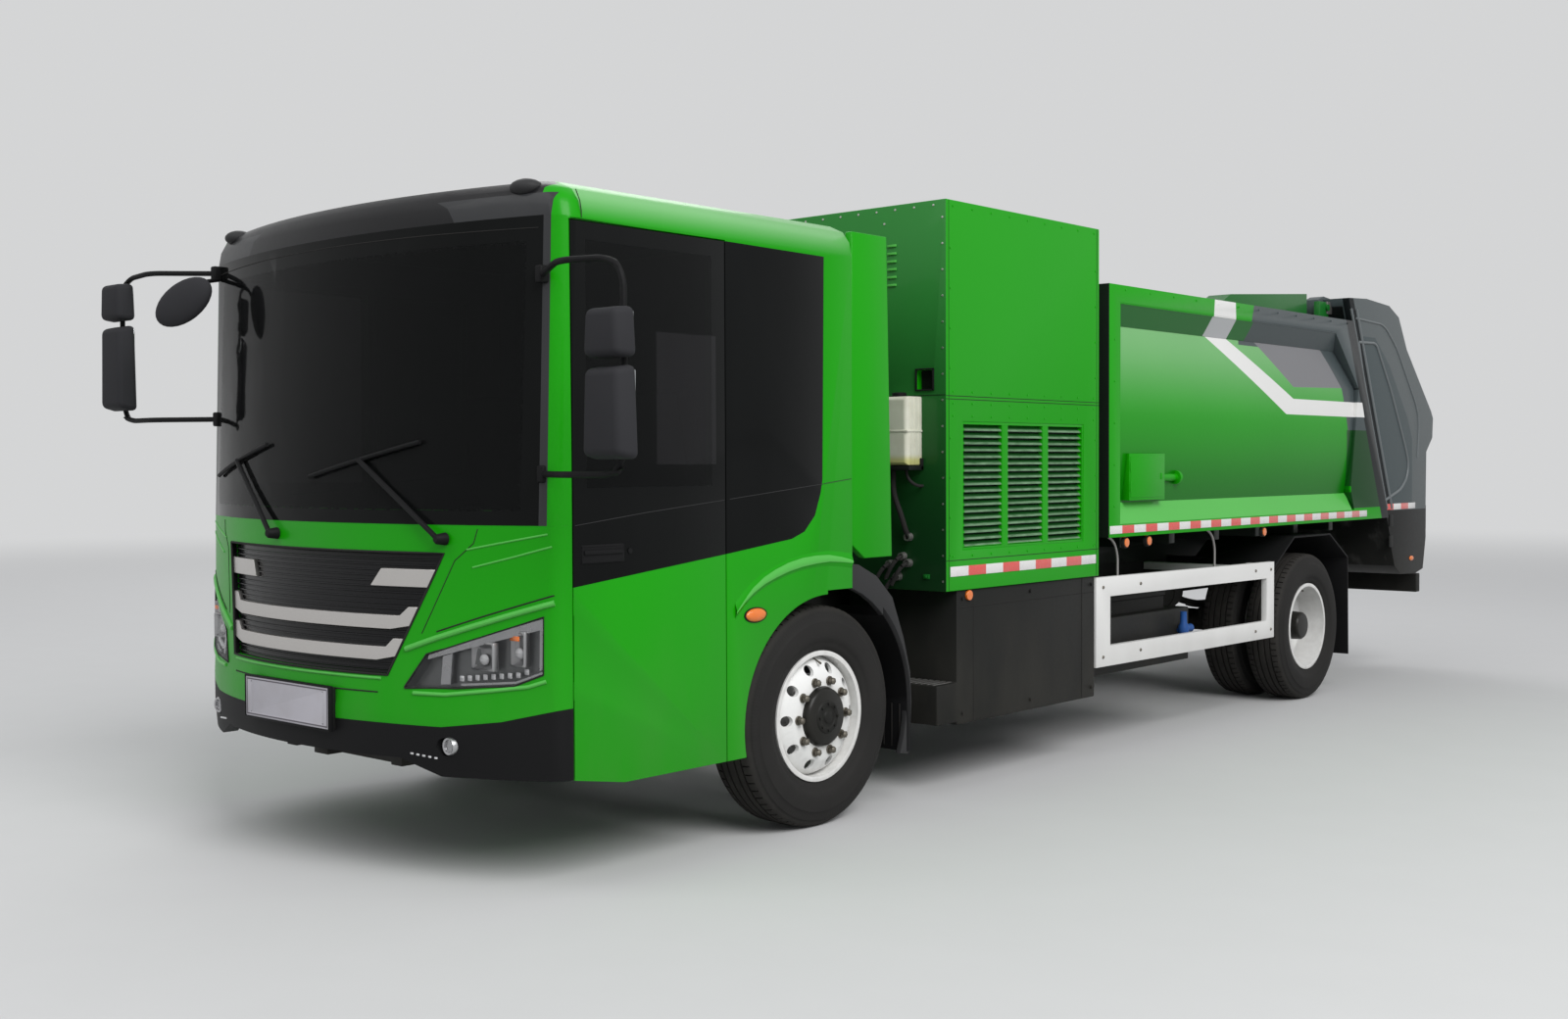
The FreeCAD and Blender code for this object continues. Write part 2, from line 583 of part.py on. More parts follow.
def barrel(inset, front, rear):
    """The body's cross section with its bulged sides, as a solid between two values of y."""
    low, high = BODY_BOTTOM + 10 + inset, BODY_TOP - 40 - inset
    half = HALF - inset
    corner_low = Vector(half - 80, front, low + 50)
    side = Vector(half - 22, front, (low + high) / 2)
    corner_high = Vector(half - 105, front, high - 60)
    ring = [Vector(half - 130, front, low), corner_low, side, corner_high, Vector(half - 150, front, high)]
    edges = [Part.LineSegment(ring[0], ring[1]).toShape(), Part.Arc(ring[1], ring[2], ring[3]).toShape(),
             Part.LineSegment(ring[3], ring[4]).toShape()]
    other = [Vector(-p.x, p.y, p.z) for p in ring]
    edges.append(Part.LineSegment(ring[4], other[4]).toShape())
    edges.append(Part.LineSegment(other[4], other[3]).toShape())
    edges.append(Part.Arc(other[3], other[2], other[1]).toShape())
    edges.append(Part.LineSegment(other[1], other[0]).toShape())
    edges.append(Part.LineSegment(other[0], ring[0]).toShape())
    return Part.Face(Part.Wire(edges)).extrude(Vector(0, rear - front, 0))


def refuse_body():
    outer = barrel(0, BARREL_FRONT, SEAM_BOTTOM + 100)
    inner = barrel(WALL, BARREL_FRONT + WALL, SEAM_BOTTOM + 400)
    return outer.cut([inner, rear_cutter(0)])


def body_frame():
    ring = block(-HALF, HALF, BODY_FRONT, BODY_FRONT + FRAME_POST, BODY_BOTTOM, BODY_TOP)
    rails = []
    for s in (-1, 1):
        rails.append(block(s * (HALF - 120), s * HALF, BODY_FRONT, SEAM_BOTTOM, BODY_TOP - 101, BODY_TOP))
        rails.append(block(s * (HALF - 110), s * HALF, BODY_FRONT, SEAM_BOTTOM + 50, BODY_BOTTOM,
                           BODY_BOTTOM + LEDGE))
        post = plate([(seam_y(BODY_TOP, -120) - 300, BODY_TOP), (seam_y(2204, -120), 2204),
                      (seam_y(1464, -560), 1464),
                      (seam_y(BODY_BOTTOM, -560), BODY_BOTTOM), (SEAM_BOTTOM + 60, BODY_BOTTOM),
                      (seam_y(BODY_TOP) + 60, BODY_TOP)], s * (HALF - 100), s * HALF)
        rails.append(post)
        rails.append(block(s * (RAIL_OUTER - RAIL_WIDTH), s * RAIL_OUTER, BODY_FRONT, SEAM_BOTTOM - 300,
                           RAIL_TOP,
                           BODY_BOTTOM + 20))
    for index in range(6):
        y = BODY_FRONT + 300 + index * 600
        rails.append(block(-HALF + 100, HALF - 100, y, y + 70, BODY_BOTTOM - 70, BODY_BOTTOM + 20))
    whole = fuse([ring] + rails)
    return whole.cut([barrel(0, BARREL_FRONT, SEAM_BOTTOM + 300), rear_cutter(0)])


def service_box():
    y0 = BODY_FRONT + 239
    x = HALF - 30
    box = block(HALF - 75, HALF - 3, y0, y0 + 424, 1450, 1725)
    pipe = rod((x, y0 + 424, 1581), (x, y0 + 660, 1581), 22)
    flange = rod((x, y0 + 600, 1581), (x, y0 + 625, 1581), 42)
    return fuse([box, pipe, flange]).cut(barrel(0, BARREL_FRONT, SEAM_BOTTOM))


def tailgate_mounts():
    """Hinge lugs and the covers of the lifting cylinders, on both roof edges."""
    pieces = []
    for x0, x1 in ((PIVOT_INNER - 48, PIVOT_INNER - 8), (PIVOT_OUTER + 8, PIVOT_OUTER + 48)):
        lug = block(x0, x1, PIVOT_Y - 130, PIVOT_Y + 30, BODY_TOP - 45, PIVOT_Z + 40)
        pieces.append(lug)
    cover = plate([(PIVOT_Y - 1800, BODY_TOP - 45), (PIVOT_Y - 1500, PIVOT_Z - 10),
                   (PIVOT_Y - 300, PIVOT_Z + 80),
                   (PIVOT_Y - 300, BODY_TOP - 45)], PIVOT_INNER - 28, PIVOT_OUTER + 28)
    base = block(PIVOT_INNER - 68, PIVOT_OUTER + 68, PIVOT_Y - 1850, PIVOT_Y - 60, BODY_TOP - 45, BODY_TOP - 30)
    pin = rod((PIVOT_INNER - 63, PIVOT_Y, PIVOT_Z), (PIVOT_OUTER + 63, PIVOT_Y, PIVOT_Z), PIVOT_PIN)
    whole = fuse(pieces + [cover, base, pin])
    return whole.cut(barrel(0, BARREL_FRONT, SEAM_BOTTOM))


def ejector():
    y0 = BARREL_FRONT + WALL + 60
    low, high = BODY_BOTTOM + 10 + WALL + SEAT_GAP, BODY_TOP - 40 - WALL - 8
    sheet = barrel(WALL + 8, y0, y0 + 60)
    ribs = [block(x - 30, x + 30, y0 - 50, y0, low + 100, high - 100) for x in (-700, 0, 700)]
    feet = [block(x - 60, x + 60, y0 - 50, y0 + 400, low, low + 60) for x in (-900, 900)]
    return fuse([sheet] + ribs + feet)


# Tailgate

def tailgate_shell():
    """Two side walls, the roof with the rear hood, and the curved hopper floor with its sill."""
    outline = [(TAIL_Y + y, z) for y, z in TAIL_OUTLINE + [TAIL_EDGE, TAIL_SILL] + TAIL_FLOOR]
    outer = plate(outline, -TAIL_HALF, TAIL_HALF)
    top_room = [(TAIL_Y - 200, 2800), (TAIL_Y + 373, 2822), (TAIL_Y + 790, 2800), (TAIL_Y + 960, 2740),
                (TAIL_Y + 1128, 2500), (TAIL_Y + 1400, 2262), (TAIL_Y + 1655, 2035), (TAIL_Y + 1680, 1990),
                (TAIL_Y + 1676, 1880), (TAIL_Y + 1560, 1700), (TAIL_Y + 2000, 1700), (TAIL_Y + 2000, 1120),
                (TAIL_Y + 1540, 1120), (TAIL_Y + 1500, 870), (TAIL_Y + 1360, 842), (TAIL_Y + 1100, 850),
                (TAIL_Y + 940, 930), (TAIL_Y + 900, 1300), (TAIL_Y - 200, 1300)]
    room = plate(top_room, -TAIL_HALF + WALL, TAIL_HALF - WALL)
    arms = []
    for s in (-1, 1):
        arm = plate([(PIVOT_Y - 40, PIVOT_Z - 40), (PIVOT_Y + 90, PIVOT_Z - 60), (TAIL_Y + 200, 2800),
                     (TAIL_Y + 300, 2870), (PIVOT_Y + 60, PIVOT_Z + 90), (PIVOT_Y - 40, PIVOT_Z + 60)],
                    s * PIVOT_INNER, s * PIVOT_OUTER)
        arms.append(arm.cut(rod((s * (PIVOT_INNER - 48), PIVOT_Y, PIVOT_Z),
                                (s * (PIVOT_OUTER + 48), PIVOT_Y, PIVOT_Z),
                                PIVOT_PIN + RUNNING_CLEARANCE)))
    seam_side = rear_cutter(TAIL_GAP)
    shell = outer.cut(room).common(seam_side)
    ears = []
    for x in (-LIFTER_ARM_X - 50, LIFTER_ARM_X + 50):
        ear = block(x - 15, x + 15, TAIL_Y + 1560, LIFTER_Y + 6, LIFTER_Z - 24, LIFTER_Z + 24)
        ears.append(ear.cut(rod((x - 20, LIFTER_PIN_Y, LIFTER_Z), (x + 20, LIFTER_PIN_Y, LIFTER_Z),
                                LIFTER_PIN + RUNNING_CLEARANCE)))
    return fuse([shell] + arms + ears)


def tail_lamps():
    low, high = 1140, 1310
    lean = (TAIL_SILL[0] - TAIL_EDGE[0]) / (TAIL_EDGE[1] - TAIL_SILL[1])
    near = TAIL_Y + TAIL_SILL[0] - (low - TAIL_SILL[1]) * lean
    far = TAIL_Y + TAIL_SILL[0] - (high - TAIL_SILL[1]) * lean
    outline = [(near, low), (near + 22, low), (far + 22, high), (far, high)]
    return group(both(plate(outline, TAIL_HALF - 50, TAIL_HALF - 10)))


def slanted(low_z, high_z, near, far, half_width):
    points = [(seam_y(low_z, near), low_z), (seam_y(low_z, far), low_z), (seam_y(high_z, far), high_z),
              (seam_y(high_z, near), high_z)]
    return plate(points, -half_width, half_width)


BLADE_Y = seam_y(CARRIAGE_LOW, 160)


def carriage():
    sheet = slanted(CARRIAGE_LOW, CARRIAGE_HIGH, 120, 190, TAIL_HALF - WALL - 10)
    shoes = [slanted(low, low + 80, 125, 185, TAIL_HALF - WALL - SEAT_GAP)
             for low in (CARRIAGE_LOW + 20, CARRIAGE_HIGH - 100)]
    ears = []
    for x in (-900, 0, 900):
        ears.append(block(x - 30, x + 30, BLADE_Y - BLADE_EAR, BLADE_Y + BLADE_EAR, BLADE_Z,
                          CARRIAGE_LOW + 20))
        ears.append(rod((x - 30, BLADE_Y, BLADE_Z), (x + 30, BLADE_Y, BLADE_Z), BLADE_EAR))
    pin = rod((-960, BLADE_Y, BLADE_Z), (960, BLADE_Y, BLADE_Z), BLADE_PIN)
    return fuse([sheet, pin] + shoes + ears)


def packer_blade():
    """The swinging blade. Its knuckles are round about the pin, so that they clear the carriage."""
    sheet = slanted(BLADE_LOW, BLADE_Z - 55, 130, 180, TAIL_HALF - WALL - 10)
    knuckles = []
    for x in (-800, -450, 450, 800):
        eye = rod((x - 30, BLADE_Y, BLADE_Z), (x + 30, BLADE_Y, BLADE_Z), BLADE_EAR)
        web = plate([(BLADE_Y - BLADE_EAR, BLADE_Z), (BLADE_Y + BLADE_EAR, BLADE_Z),
                     (BLADE_Y + 75, BLADE_Z - 60),
                     (BLADE_Y + 95, BLADE_Z - 130), (BLADE_Y + 50, BLADE_Z - 130)], x - 30, x + 30)
        bore = rod((x - 40, BLADE_Y, BLADE_Z), (x + 40, BLADE_Y, BLADE_Z), BLADE_PIN + RUNNING_CLEARANCE)
        knuckles.append(fuse([eye, web]).cut(bore))
    return fuse([sheet] + knuckles)


def bin_lifter():
    beam = block(-850, 850, LIFTER_Y - 30, LIFTER_Y, LIFTER_Z - 230, LIFTER_Z - 90)
    teeth = [block(x - 25, x + 25, LIFTER_Y, LIFTER_Y + 22, LIFTER_Z - 130, LIFTER_Z - 60)
             for x in range(-800, 801, 160)]
    arms = [block(x - 25, x + 25, LIFTER_Y - 28, LIFTER_Y - 2, LIFTER_Z - 120, LIFTER_Z)
            for x in (-LIFTER_ARM_X, LIFTER_ARM_X)]
    pieces = [beam] + teeth + arms
    for s in (-1, 1):
        inner, middle, outer = s * (LIFTER_ARM_X - 25), s * (LIFTER_ARM_X + 20), s * (LIFTER_ARM_X + 85)
        pieces.append(rod((inner, LIFTER_PIN_Y, LIFTER_Z), (middle + s * 5, LIFTER_PIN_Y, LIFTER_Z),
                          LIFTER_PIN + 5))
        pieces.append(rod((middle, LIFTER_PIN_Y, LIFTER_Z), (outer, LIFTER_PIN_Y, LIFTER_Z), LIFTER_PIN))
    return fuse(pieces)


# Cab

def cab_section(z, half, nose, corner, radius, rear):
    """A level section of the cab: straight sides, rounded front corners and a bowed nose."""
    bow = corner - nose
    arc_radius = (half * half + bow * bow) / (2 * bow)
    centre_y = nose + arc_radius
    fillet_y = centre_y - math.sqrt((arc_radius - radius) ** 2 - (half - radius) ** 2)
    fillet = Vector(half - radius, fillet_y, z)
    outward = Vector(half - radius, fillet_y - centre_y, 0)
    outward.normalize()
    on_nose = fillet + outward * radius
    on_side = Vector(half, fillet_y, z)
    bisector = outward + Vector(1, 0, 0)
    bisector.normalize()
    middle = fillet + bisector * radius

    def flip(p):
        return Vector(-p.x, p.y, p.z)

    edges = [Part.LineSegment(Vector(half, rear, z), on_side).toShape(),
             Part.Arc(on_side, middle, on_nose).toShape(),
             Part.Arc(on_nose, Vector(0, nose, z), flip(on_nose)).toShape(),
             Part.Arc(flip(on_nose), flip(middle), flip(on_side)).toShape(),
             Part.LineSegment(flip(on_side), Vector(-half, rear, z)).toShape(),
             Part.LineSegment(Vector(-half, rear, z), Vector(half, rear, z)).toShape()]
    return Part.Wire(edges)


def cab_solid(inset):
    sections = []
    for z, shrink, nose, corner in CAB_LEVELS:
        sections.append(cab_section(z, HALF - shrink - inset, nose + inset, corner + inset,
                                    CORNER_RADIUS - min(inset, 50), CAB_REAR - inset))
    return Part.makeLoft(sections, True, True)


OUTER = cab_solid(0)
INNER = cab_solid(WALL)
SKIN_BACK = cab_solid(GLASS)


def nose_region(z0, z1):
    return block(-HALF - 1, HALF + 1, NOSE_FAR, NOSE_REAR, z0, z1)


def bumper_line(top):
    """The region of the nose under the green and black boundary, or above it."""
    line = [(-1400, 760), (-1286, 733), (-1066, 678), (-830, 648), (-530, 650), (530, 650), (830, 648),
            (1066, 678),
            (1286, 733), (1400, 760)]
    if top:
        return front_plate(line + [(1400, SCREEN_BOTTOM), (-1400, SCREEN_BOTTOM)], NOSE_FAR, NOSE_REAR)
    low = [(1400, 450), (820, 450), (640, BUMPER_LIP), (-640, BUMPER_LIP), (-820, 450), (-1400, 450)]
    return front_plate(line + low, NOSE_FAR, NOSE_REAR)


def number_plate():
    sheet = block(*PLATE_BOX)
    middle = (PLATE_BOX[4] + PLATE_BOX[5]) / 2
    holes = []
    for x in (-270, 270):
        for z in (middle - 65, middle + 65):
            holes.append(rod((x, -FRONT_OVERHANG - 1, z), (x, PLATE_BOX[3] + 1, z), PLATE_HOLE))
    return sheet.cut(holes)


def headlamp_prism():
    return front_plate(HEADLAMP, NOSE_FAR, NOSE_REAR)


def grille_prism():
    return front_plate(GRILLE, NOSE_FAR, -1500)


def front_panel():
    skin = OUTER.cut(INNER).common(bumper_line(True))
    holes = [grille_prism(), headlamp_prism(), mirrored(headlamp_prism()), block(*PLATE_BOX)]
    return skin.cut(holes)


def bumper():
    skin = OUTER.cut(INNER).common(bumper_line(False))
    lamps = [fog_lamp(1), fog_lamp(-1)]
    return skin.cut(lamps + [block(*PLATE_BOX)])


def fog_lamp(s):
    return rod((s * 845, NOSE_FAR, 570), (s * 845, -1700, 570), 36)


def front_lamps():
    lens = cab_solid(4).cut(INNER)
    lamps = []
    for shape in both(headlamp_prism()):
        lamps.append(lens.common(shape))
    for s in (-1, 1):
        lamps.append(cab_solid(8).cut(INNER).common(fog_lamp(s)))
    return group(lamps)


def grille():
    zone = grille_prism()
    return cab_solid(25).cut(cab_solid(50)).common(zone)


def grille_bars():
    skin = cab_solid(3).cut(cab_solid(25))
    bars = []
    wide = [[(-700, 1112), (-640, 1112), (-600, 1076), (600, 1076), (640, 1112), (700, 1112), (680, 1040),
             (560, 1020), (-560, 1020), (-680, 1040)],
            [(-640, 985), (-580, 985), (-545, 950), (545, 950), (580, 985), (640, 985), (610, 915),
             (505, 895),
             (-505, 895), (-610, 915)]]
    for outline in wide:
        bars.append(skin.common(front_plate(outline, NOSE_FAR, -1500)))
    accent = [(430, 1190), (480, 1262), (765, 1262), (732, 1190)]
    for shape in both(front_plate(accent, NOSE_FAR, -1500)):
        bars.append(skin.common(shape))
    return group(bars).common(grille_prism())


def door_region(gap):
    """The door's place in the side, grown by the given gap all round."""
    return block(HALF - WALL - gap, HALF + 10, DOOR_FRONT - gap, DOOR_REAR + gap, 0, DOOR_TOP + gap)


def door_recess():
    """What the cab leaves open for the door, down to the flange that it closes on."""
    return block(HALF - WALL - SEAT_GAP, HALF + 10, DOOR_FRONT - DOOR_GAP, DOOR_REAR + DOOR_GAP, 0,
                 DOOR_TOP + DOOR_GAP)


def side_glass_zone(x0):
    return plate(SIDE_GLASS, x0, HALF + 5)


def door_window():
    return plate([(-1480, 1500), (-745, 1560), (-745, 2560), (-1470, 2570)], HALF - 100, HALF + 5)


def quarter_window():
    return plate([(-600, 1580), (-120, 1625), (-100, 2560), (-600, 2560)], HALF - 100, HALF + 5)


def lower_trim():
    """What is cut from under the cab: the slanted front edge and the wheel arch."""
    front = plate([(-2200, 300), (-1273, 300), (-1273, CAB_BOTTOM), (-1560, 451), (-2200, 451)], -HALF - 5,
                  HALF + 5)
    arch = rod((-HALF - 5, 0, AXLE_Z), (HALF + 5, 0, AXLE_Z), ARCH_RADIUS)
    behind = block(-HALF - 5, HALF + 5, 0, CAB_REAR + 5, 0, ARCH_FLAT)
    low = block(-HALF - 5, HALF + 5, -555, 0, 0, AXLE_Z)
    return [front, arch, behind, low]


def door():
    """The left door's skin, with the barrels of its two hinges at the front edge."""
    solid = OUTER.cut(INNER).common(door_region(0)).cut(lower_trim())
    glass_seat = side_glass_zone(HALF - GLASS).common(door_region(0))
    barrels = [rod((HALF, DOOR_FRONT, z), (HALF, DOOR_FRONT, z + 70), HINGE_BARREL) for z in (760, 1090)]
    return fuse([solid.cut([glass_seat, door_window()])] + barrels)


def door_glass():
    return side_glass_zone(HALF - GLASS).common(OUTER).common(door_region(0))


def screen_zone(half, low, high):
    return block(-half, half, NOSE_FAR, -1400, low, high)


def cab_shell():
    below_low = block(-HALF, HALF, NOSE_FAR, RISER, 0, LOW_FLOOR)
    below_high = block(-HALF, HALF, RISER, 1000, 0, HIGH_FLOOR)
    above_low = block(-HALF, HALF, NOSE_FAR, RISER - WALL, LOW_FLOOR + WALL, 2740)
    above_high = block(-HALF, HALF, NOSE_FAR, 1000, HIGH_FLOOR + WALL, 2740)
    hollow = [INNER.common(region) for region in (below_low, below_high, above_low, above_high)]
    shell = OUTER.cut(hollow)
    shell = shell.cut([bumper_line(True).cut(INNER), bumper_line(False).cut(INNER),
                       nose_region(0, BUMPER_LIP + 5).cut(INNER)])
    doors = both(door_recess())
    windows = both(quarter_window()) + both(side_glass_zone(HALF - GLASS))
    screen = screen_zone(SCREEN_HALF, SCREEN_BOTTOM, SCREEN_TOP).cut(SKIN_BACK)
    opening = screen_zone(SCREEN_HALF - 60, SCREEN_BOTTOM + 60, SCREEN_TOP - 60)
    opening = opening.cut(block(-HALF, HALF, -1450, 0, 0, 3000))
    shell = shell.cut(windows + [screen, opening])
    shell = shell.fuse(both(door_frame())).cut(doors + lower_trim())
    return shell.fuse(both(tilt_ear())).removeSplitter()


def door_frame():
    """The flange with its seal that the closed door rests on, all round the opening."""
    front, rear = DOOR_FRONT - DOOR_GAP, DOOR_REAR + 40
    ring = block(HALF - WALL - 25, HALF - WALL + 5, front, rear, LOW_FLOOR - 60, DOOR_TOP + 40)
    hole = block(HALF - WALL - 30, HALF, DOOR_FRONT + 25, DOOR_REAR - 25, LOW_FLOOR + WALL, DOOR_TOP - 25)
    return ring.cut(hole)


def tilt_ear():
    """One of the two ears that hang from the cab floor and turn on the frame's tilt pins."""
    x0, x1 = RAIL_OUTER + 15, RAIL_OUTER + 65
    ear = plate([(TILT_Y - 60, LOW_FLOOR), (TILT_Y - 45, TILT_Z - 45), (TILT_Y + 45, TILT_Z - 45),
                 (TILT_Y + 60, LOW_FLOOR)], x0, x1)
    return ear.cut(rod((x0 - 5, TILT_Y, TILT_Z), (x1 + 5, TILT_Y, TILT_Z), TILT_PIN + RUNNING_CLEARANCE))


def cab_glass():
    screen = OUTER.cut(SKIN_BACK).common(screen_zone(SCREEN_HALF, SCREEN_BOTTOM, SCREEN_TOP))
    quarter = OUTER.common(side_glass_zone(HALF - GLASS))
    quarter = quarter.cut(block(0, HALF + 9, NOSE_FAR, DOOR_REAR + DOOR_GAP, 0, 3000))
    return group([screen] + both(quarter))


def cab_fairings():
    outline = [(CAB_REAR, 1296), (CAB_REAR, 2751), (444, 2751), (482, 1229), (272, 1229)]
    panel = plate(outline, HALF - 40, HALF)
    bracket = block(HALF - 160, HALF - 40, CAB_REAR, CAB_REAR + 20, 1400, 2600)
    return group(both(fuse([panel, bracket])))


def mirror(side, low, high, small_low, small_high, arm_low, arm_high):
    """A main mirror with a wide-angle one over it, on a bent tube."""
    x, y = side * MIRROR_X, MIRROR_Y
    root, bend = side * (HALF - 110), side * (HALF + 225)
    frame = bent_rod([(root, -1585, arm_high), (bend, -1800, arm_high + 10), (x, y + 45, arm_high),
                      (x, y + 45, arm_low), (bend, -1790, arm_low), (root, -1590, arm_low)], MIRROR_TUBE)
    main = block(x - 100, x + 100, y - 45, y + 45, low, high)
    small = block(x - 90, x + 90, y - 40, y + 45, small_low, small_high)
    return fuse([frame, main.makeFillet(25, main.Edges), small.makeFillet(20, small.Edges)])


def kerb_mirror():
    """The round convex mirror on a short arm at the right front corner."""
    x = 145 - HALF
    head = rod((x, -1925, 2430), (x, -1890, 2430), 75)
    arm = bent_rod([(x, -1895, 2430), (x, -1850, 2470), (x, -1600, 2640)], 10)
    return fuse([head, arm])


def mirrors():
    left = mirror(1, 1690, 2040, 2070, 2290, 1640, 2410)
    right = mirror(-1, 1930, 2340, 2360, 2550, 1900, 2600)
    return group([left.cut(OUTER), right.cut(OUTER), kerb_mirror().cut(OUTER)])


def nose_y(x, z):
    """The y of the bowed nose at a given x and z, between two of the cab's levels."""
    for low, high in zip(CAB_LEVELS, CAB_LEVELS[1:]):
        if low[0] <= z <= high[0]:
            share = (z - low[0]) / (high[0] - low[0])
            nose = low[2] + (high[2] - low[2]) * share
            bow = low[3] + (high[3] - low[3]) * share - nose
            radius = (HALF * HALF + bow * bow) / (2 * bow)
            return nose + radius - math.sqrt(radius * radius - x * x)


def wipers():
    """Two arms, each with a blade that follows the bowed windscreen."""
    pieces = []
    pivot_z, tip_z = WIPER_PIVOT_Z, WIPER_TIP_Z
    for pivot_x, tip_x in ((800, 330), (-250, -720)):
        pivot_y, tip_y = nose_y(pivot_x, pivot_z), nose_y(tip_x, tip_z)
        arm = bent_rod([(pivot_x, pivot_y + 30, pivot_z), (pivot_x, pivot_y - 40, pivot_z),
                        (tip_x, tip_y - 20, tip_z)], 11)
        spots = []
        for reach in (-WIPER_BLADE, 0, WIPER_BLADE):
            x, z = tip_x + reach, tip_z + reach * 0.21
            spots.append(Vector(x, nose_y(x, z) - 14, z))
        curve = Part.Arc(*spots)
        profile = Part.Face(Part.Wire(Part.makeCircle(9, spots[0], curve.tangent(curve.FirstParameter)[0])))
        blade = Part.Wire(curve.toShape()).makePipe(profile)
        pieces.append(fuse([arm, blade]).cut(OUTER))
    return group(pieces)


def dashboard():
    half = HALF - 175
    box = plate([(-1780, 1000), (-1420, 1050), (-1400, 1330), (-1560, 1430), (-1780, 1400)], -half, half)
    legs = block(-half, half, -1780, -1700, LOW_FLOOR + WALL, 1050)
    return fuse([box, legs]).common(cab_solid(WALL + 6)).cut(steering_wheel())


def steering_wheel():
    x, y, z = HELM
    ring = Part.makeTorus(HELM_RADIUS, 16, Vector(x, y, z), Vector(0, 0.5, 1))
    column = rod((x, y - 180, z - 160), HELM, 28)
    spoke = rod((x - HELM_RADIUS + 3, y, z), (x + HELM_RADIUS - 3, y, z), 12)
    return fuse([ring, column, spoke])


def seats():
    pieces = []
    for x in (-SEAT_X, SEAT_X):
        base = block(x - 180, x + 180, -600, -260, HIGH_FLOOR + WALL, SEAT_BASE)
        cushion = block(x - 240, x + 240, -740, -220, SEAT_BASE, SEAT_TOP)
        back = plate([(-300, SEAT_TOP), (-200, SEAT_TOP), (-60, 2060), (-150, 2080)], x - 230, x + 230)
        pieces.append(fuse([base, cushion, back]))
    return group(pieces)


def marker_lamps():
    lamps = []
    spots = [(1132, 1000), (BODY_FRONT + 225, 1205), (BODY_FRONT + 492, 1205), (BODY_FRONT + 2050, 1205)]
    for y, z in spots[1:]:
        lens = rod((HALF - 40, y, z), (HALF - 8, y, z), 26)
        bracket = block(HALF - 40, HALF - 20, y - 12, y + 12, z + 10, BODY_BOTTOM)
        lamps += both(fuse([lens, bracket]))
    y, z = spots[0]
    lamps += both(rod((SKIRT_X, y, z), (HALF, y, z), 26))
    return group(lamps)


os.makedirs("parts", exist_ok=True)

save("tyre_front_left", tyre(WHEEL_X, 0))
save("tyre_front_right", tyre(-WHEEL_X, 0))
save("tyres_rear_left", group([tyre(WHEEL_X, REAR_AXLE), tyre(TWIN_X, REAR_AXLE)]))
save("tyres_rear_right", group([tyre(-WHEEL_X, REAR_AXLE), tyre(-TWIN_X, REAR_AXLE)]))
save("wheel_front_left", front_wheel())
save("wheel_front_right", mirrored(front_wheel()))
save("wheels_rear_left", rear_wheels())
save("wheels_rear_right", mirrored(rear_wheels()))
save("chassis_frame", chassis_frame())
save("underrun_bar", underrun_bar())
save("front_axle", front_axle())
save("knuckle_left", knuckle())
save("knuckle_right", mirrored(knuckle()))
save("tie_rod", tie_rod())
save("rear_axle", rear_axle())
save("leaf_springs", leaf_springs())
save("drive_motor", drive_motor())
save("skirt_boxes", group(both(skirt_box())))
save("power_cabinet", cabinet())
save("cabinet_louvres", group(both(louvre())))
save("traction_battery", traction_battery())
save("expansion_tank", expansion_tank())
save("mudguards", group(both(front_mudguard()) + both(rear_mudguard())))
save("side_guards", group(both(side_guard())))
save("refuse_body", refuse_body())
save("body_frame", body_frame())
save("service_box", service_box())
save("tailgate_mounts", group(both(tailgate_mounts())))
save("ejector_plate", ejector())
save("tailgate_shell", tailgate_shell())
save("tail_lamps", tail_lamps())
save("carriage", carriage())
save("packer_blade", packer_blade())
save("bin_lifter", bin_lifter())
save("cab_shell", cab_shell())
save("cab_glass", cab_glass())
save("front_panel", front_panel())
save("grille", grille())
save("grille_bars", grille_bars())
save("bumper", bumper())
save("front_lamps", front_lamps())
save("number_plate", number_plate())
save("mirrors", mirrors())
save("wipers", wipers())
save("dashboard", dashboard())
save("steering_wheel", steering_wheel())
save("seats", seats())
save("cab_fairings", cab_fairings())
save("door_left", door())
save("door_right", mirrored(door()))
save("door_glass_left", door_glass())
save("door_glass_right", mirrored(door_glass()))
save("marker_lamps", marker_lamps())
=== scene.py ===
"""The looks of a battery electric garbage truck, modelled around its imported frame."""

import json
import math

import bmesh
import bpy
from bpy.props import FloatProperty, FloatVectorProperty, IntProperty, PointerProperty
from mathutils import Matrix, Vector
from mathutils.bvhtree import BVHTree


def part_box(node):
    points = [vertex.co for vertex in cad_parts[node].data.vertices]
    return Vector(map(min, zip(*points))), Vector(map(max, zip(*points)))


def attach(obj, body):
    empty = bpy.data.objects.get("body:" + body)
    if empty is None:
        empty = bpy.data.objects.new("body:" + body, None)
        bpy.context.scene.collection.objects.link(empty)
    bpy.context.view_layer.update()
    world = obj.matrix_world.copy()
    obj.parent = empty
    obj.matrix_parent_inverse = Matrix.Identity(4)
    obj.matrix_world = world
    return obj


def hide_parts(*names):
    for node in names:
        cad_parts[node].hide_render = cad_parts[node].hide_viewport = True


bl_info = {
    "name": "Garbage truck dresser",
    "version": (1, 0, 0),
    "blender": (4, 5, 0),
    "location": "View3D > Sidebar > Truck",
    "description": "Builds the finishes, tyres, lamps, glass and trim of a rear loading garbage truck",
    "category": "Object",
}

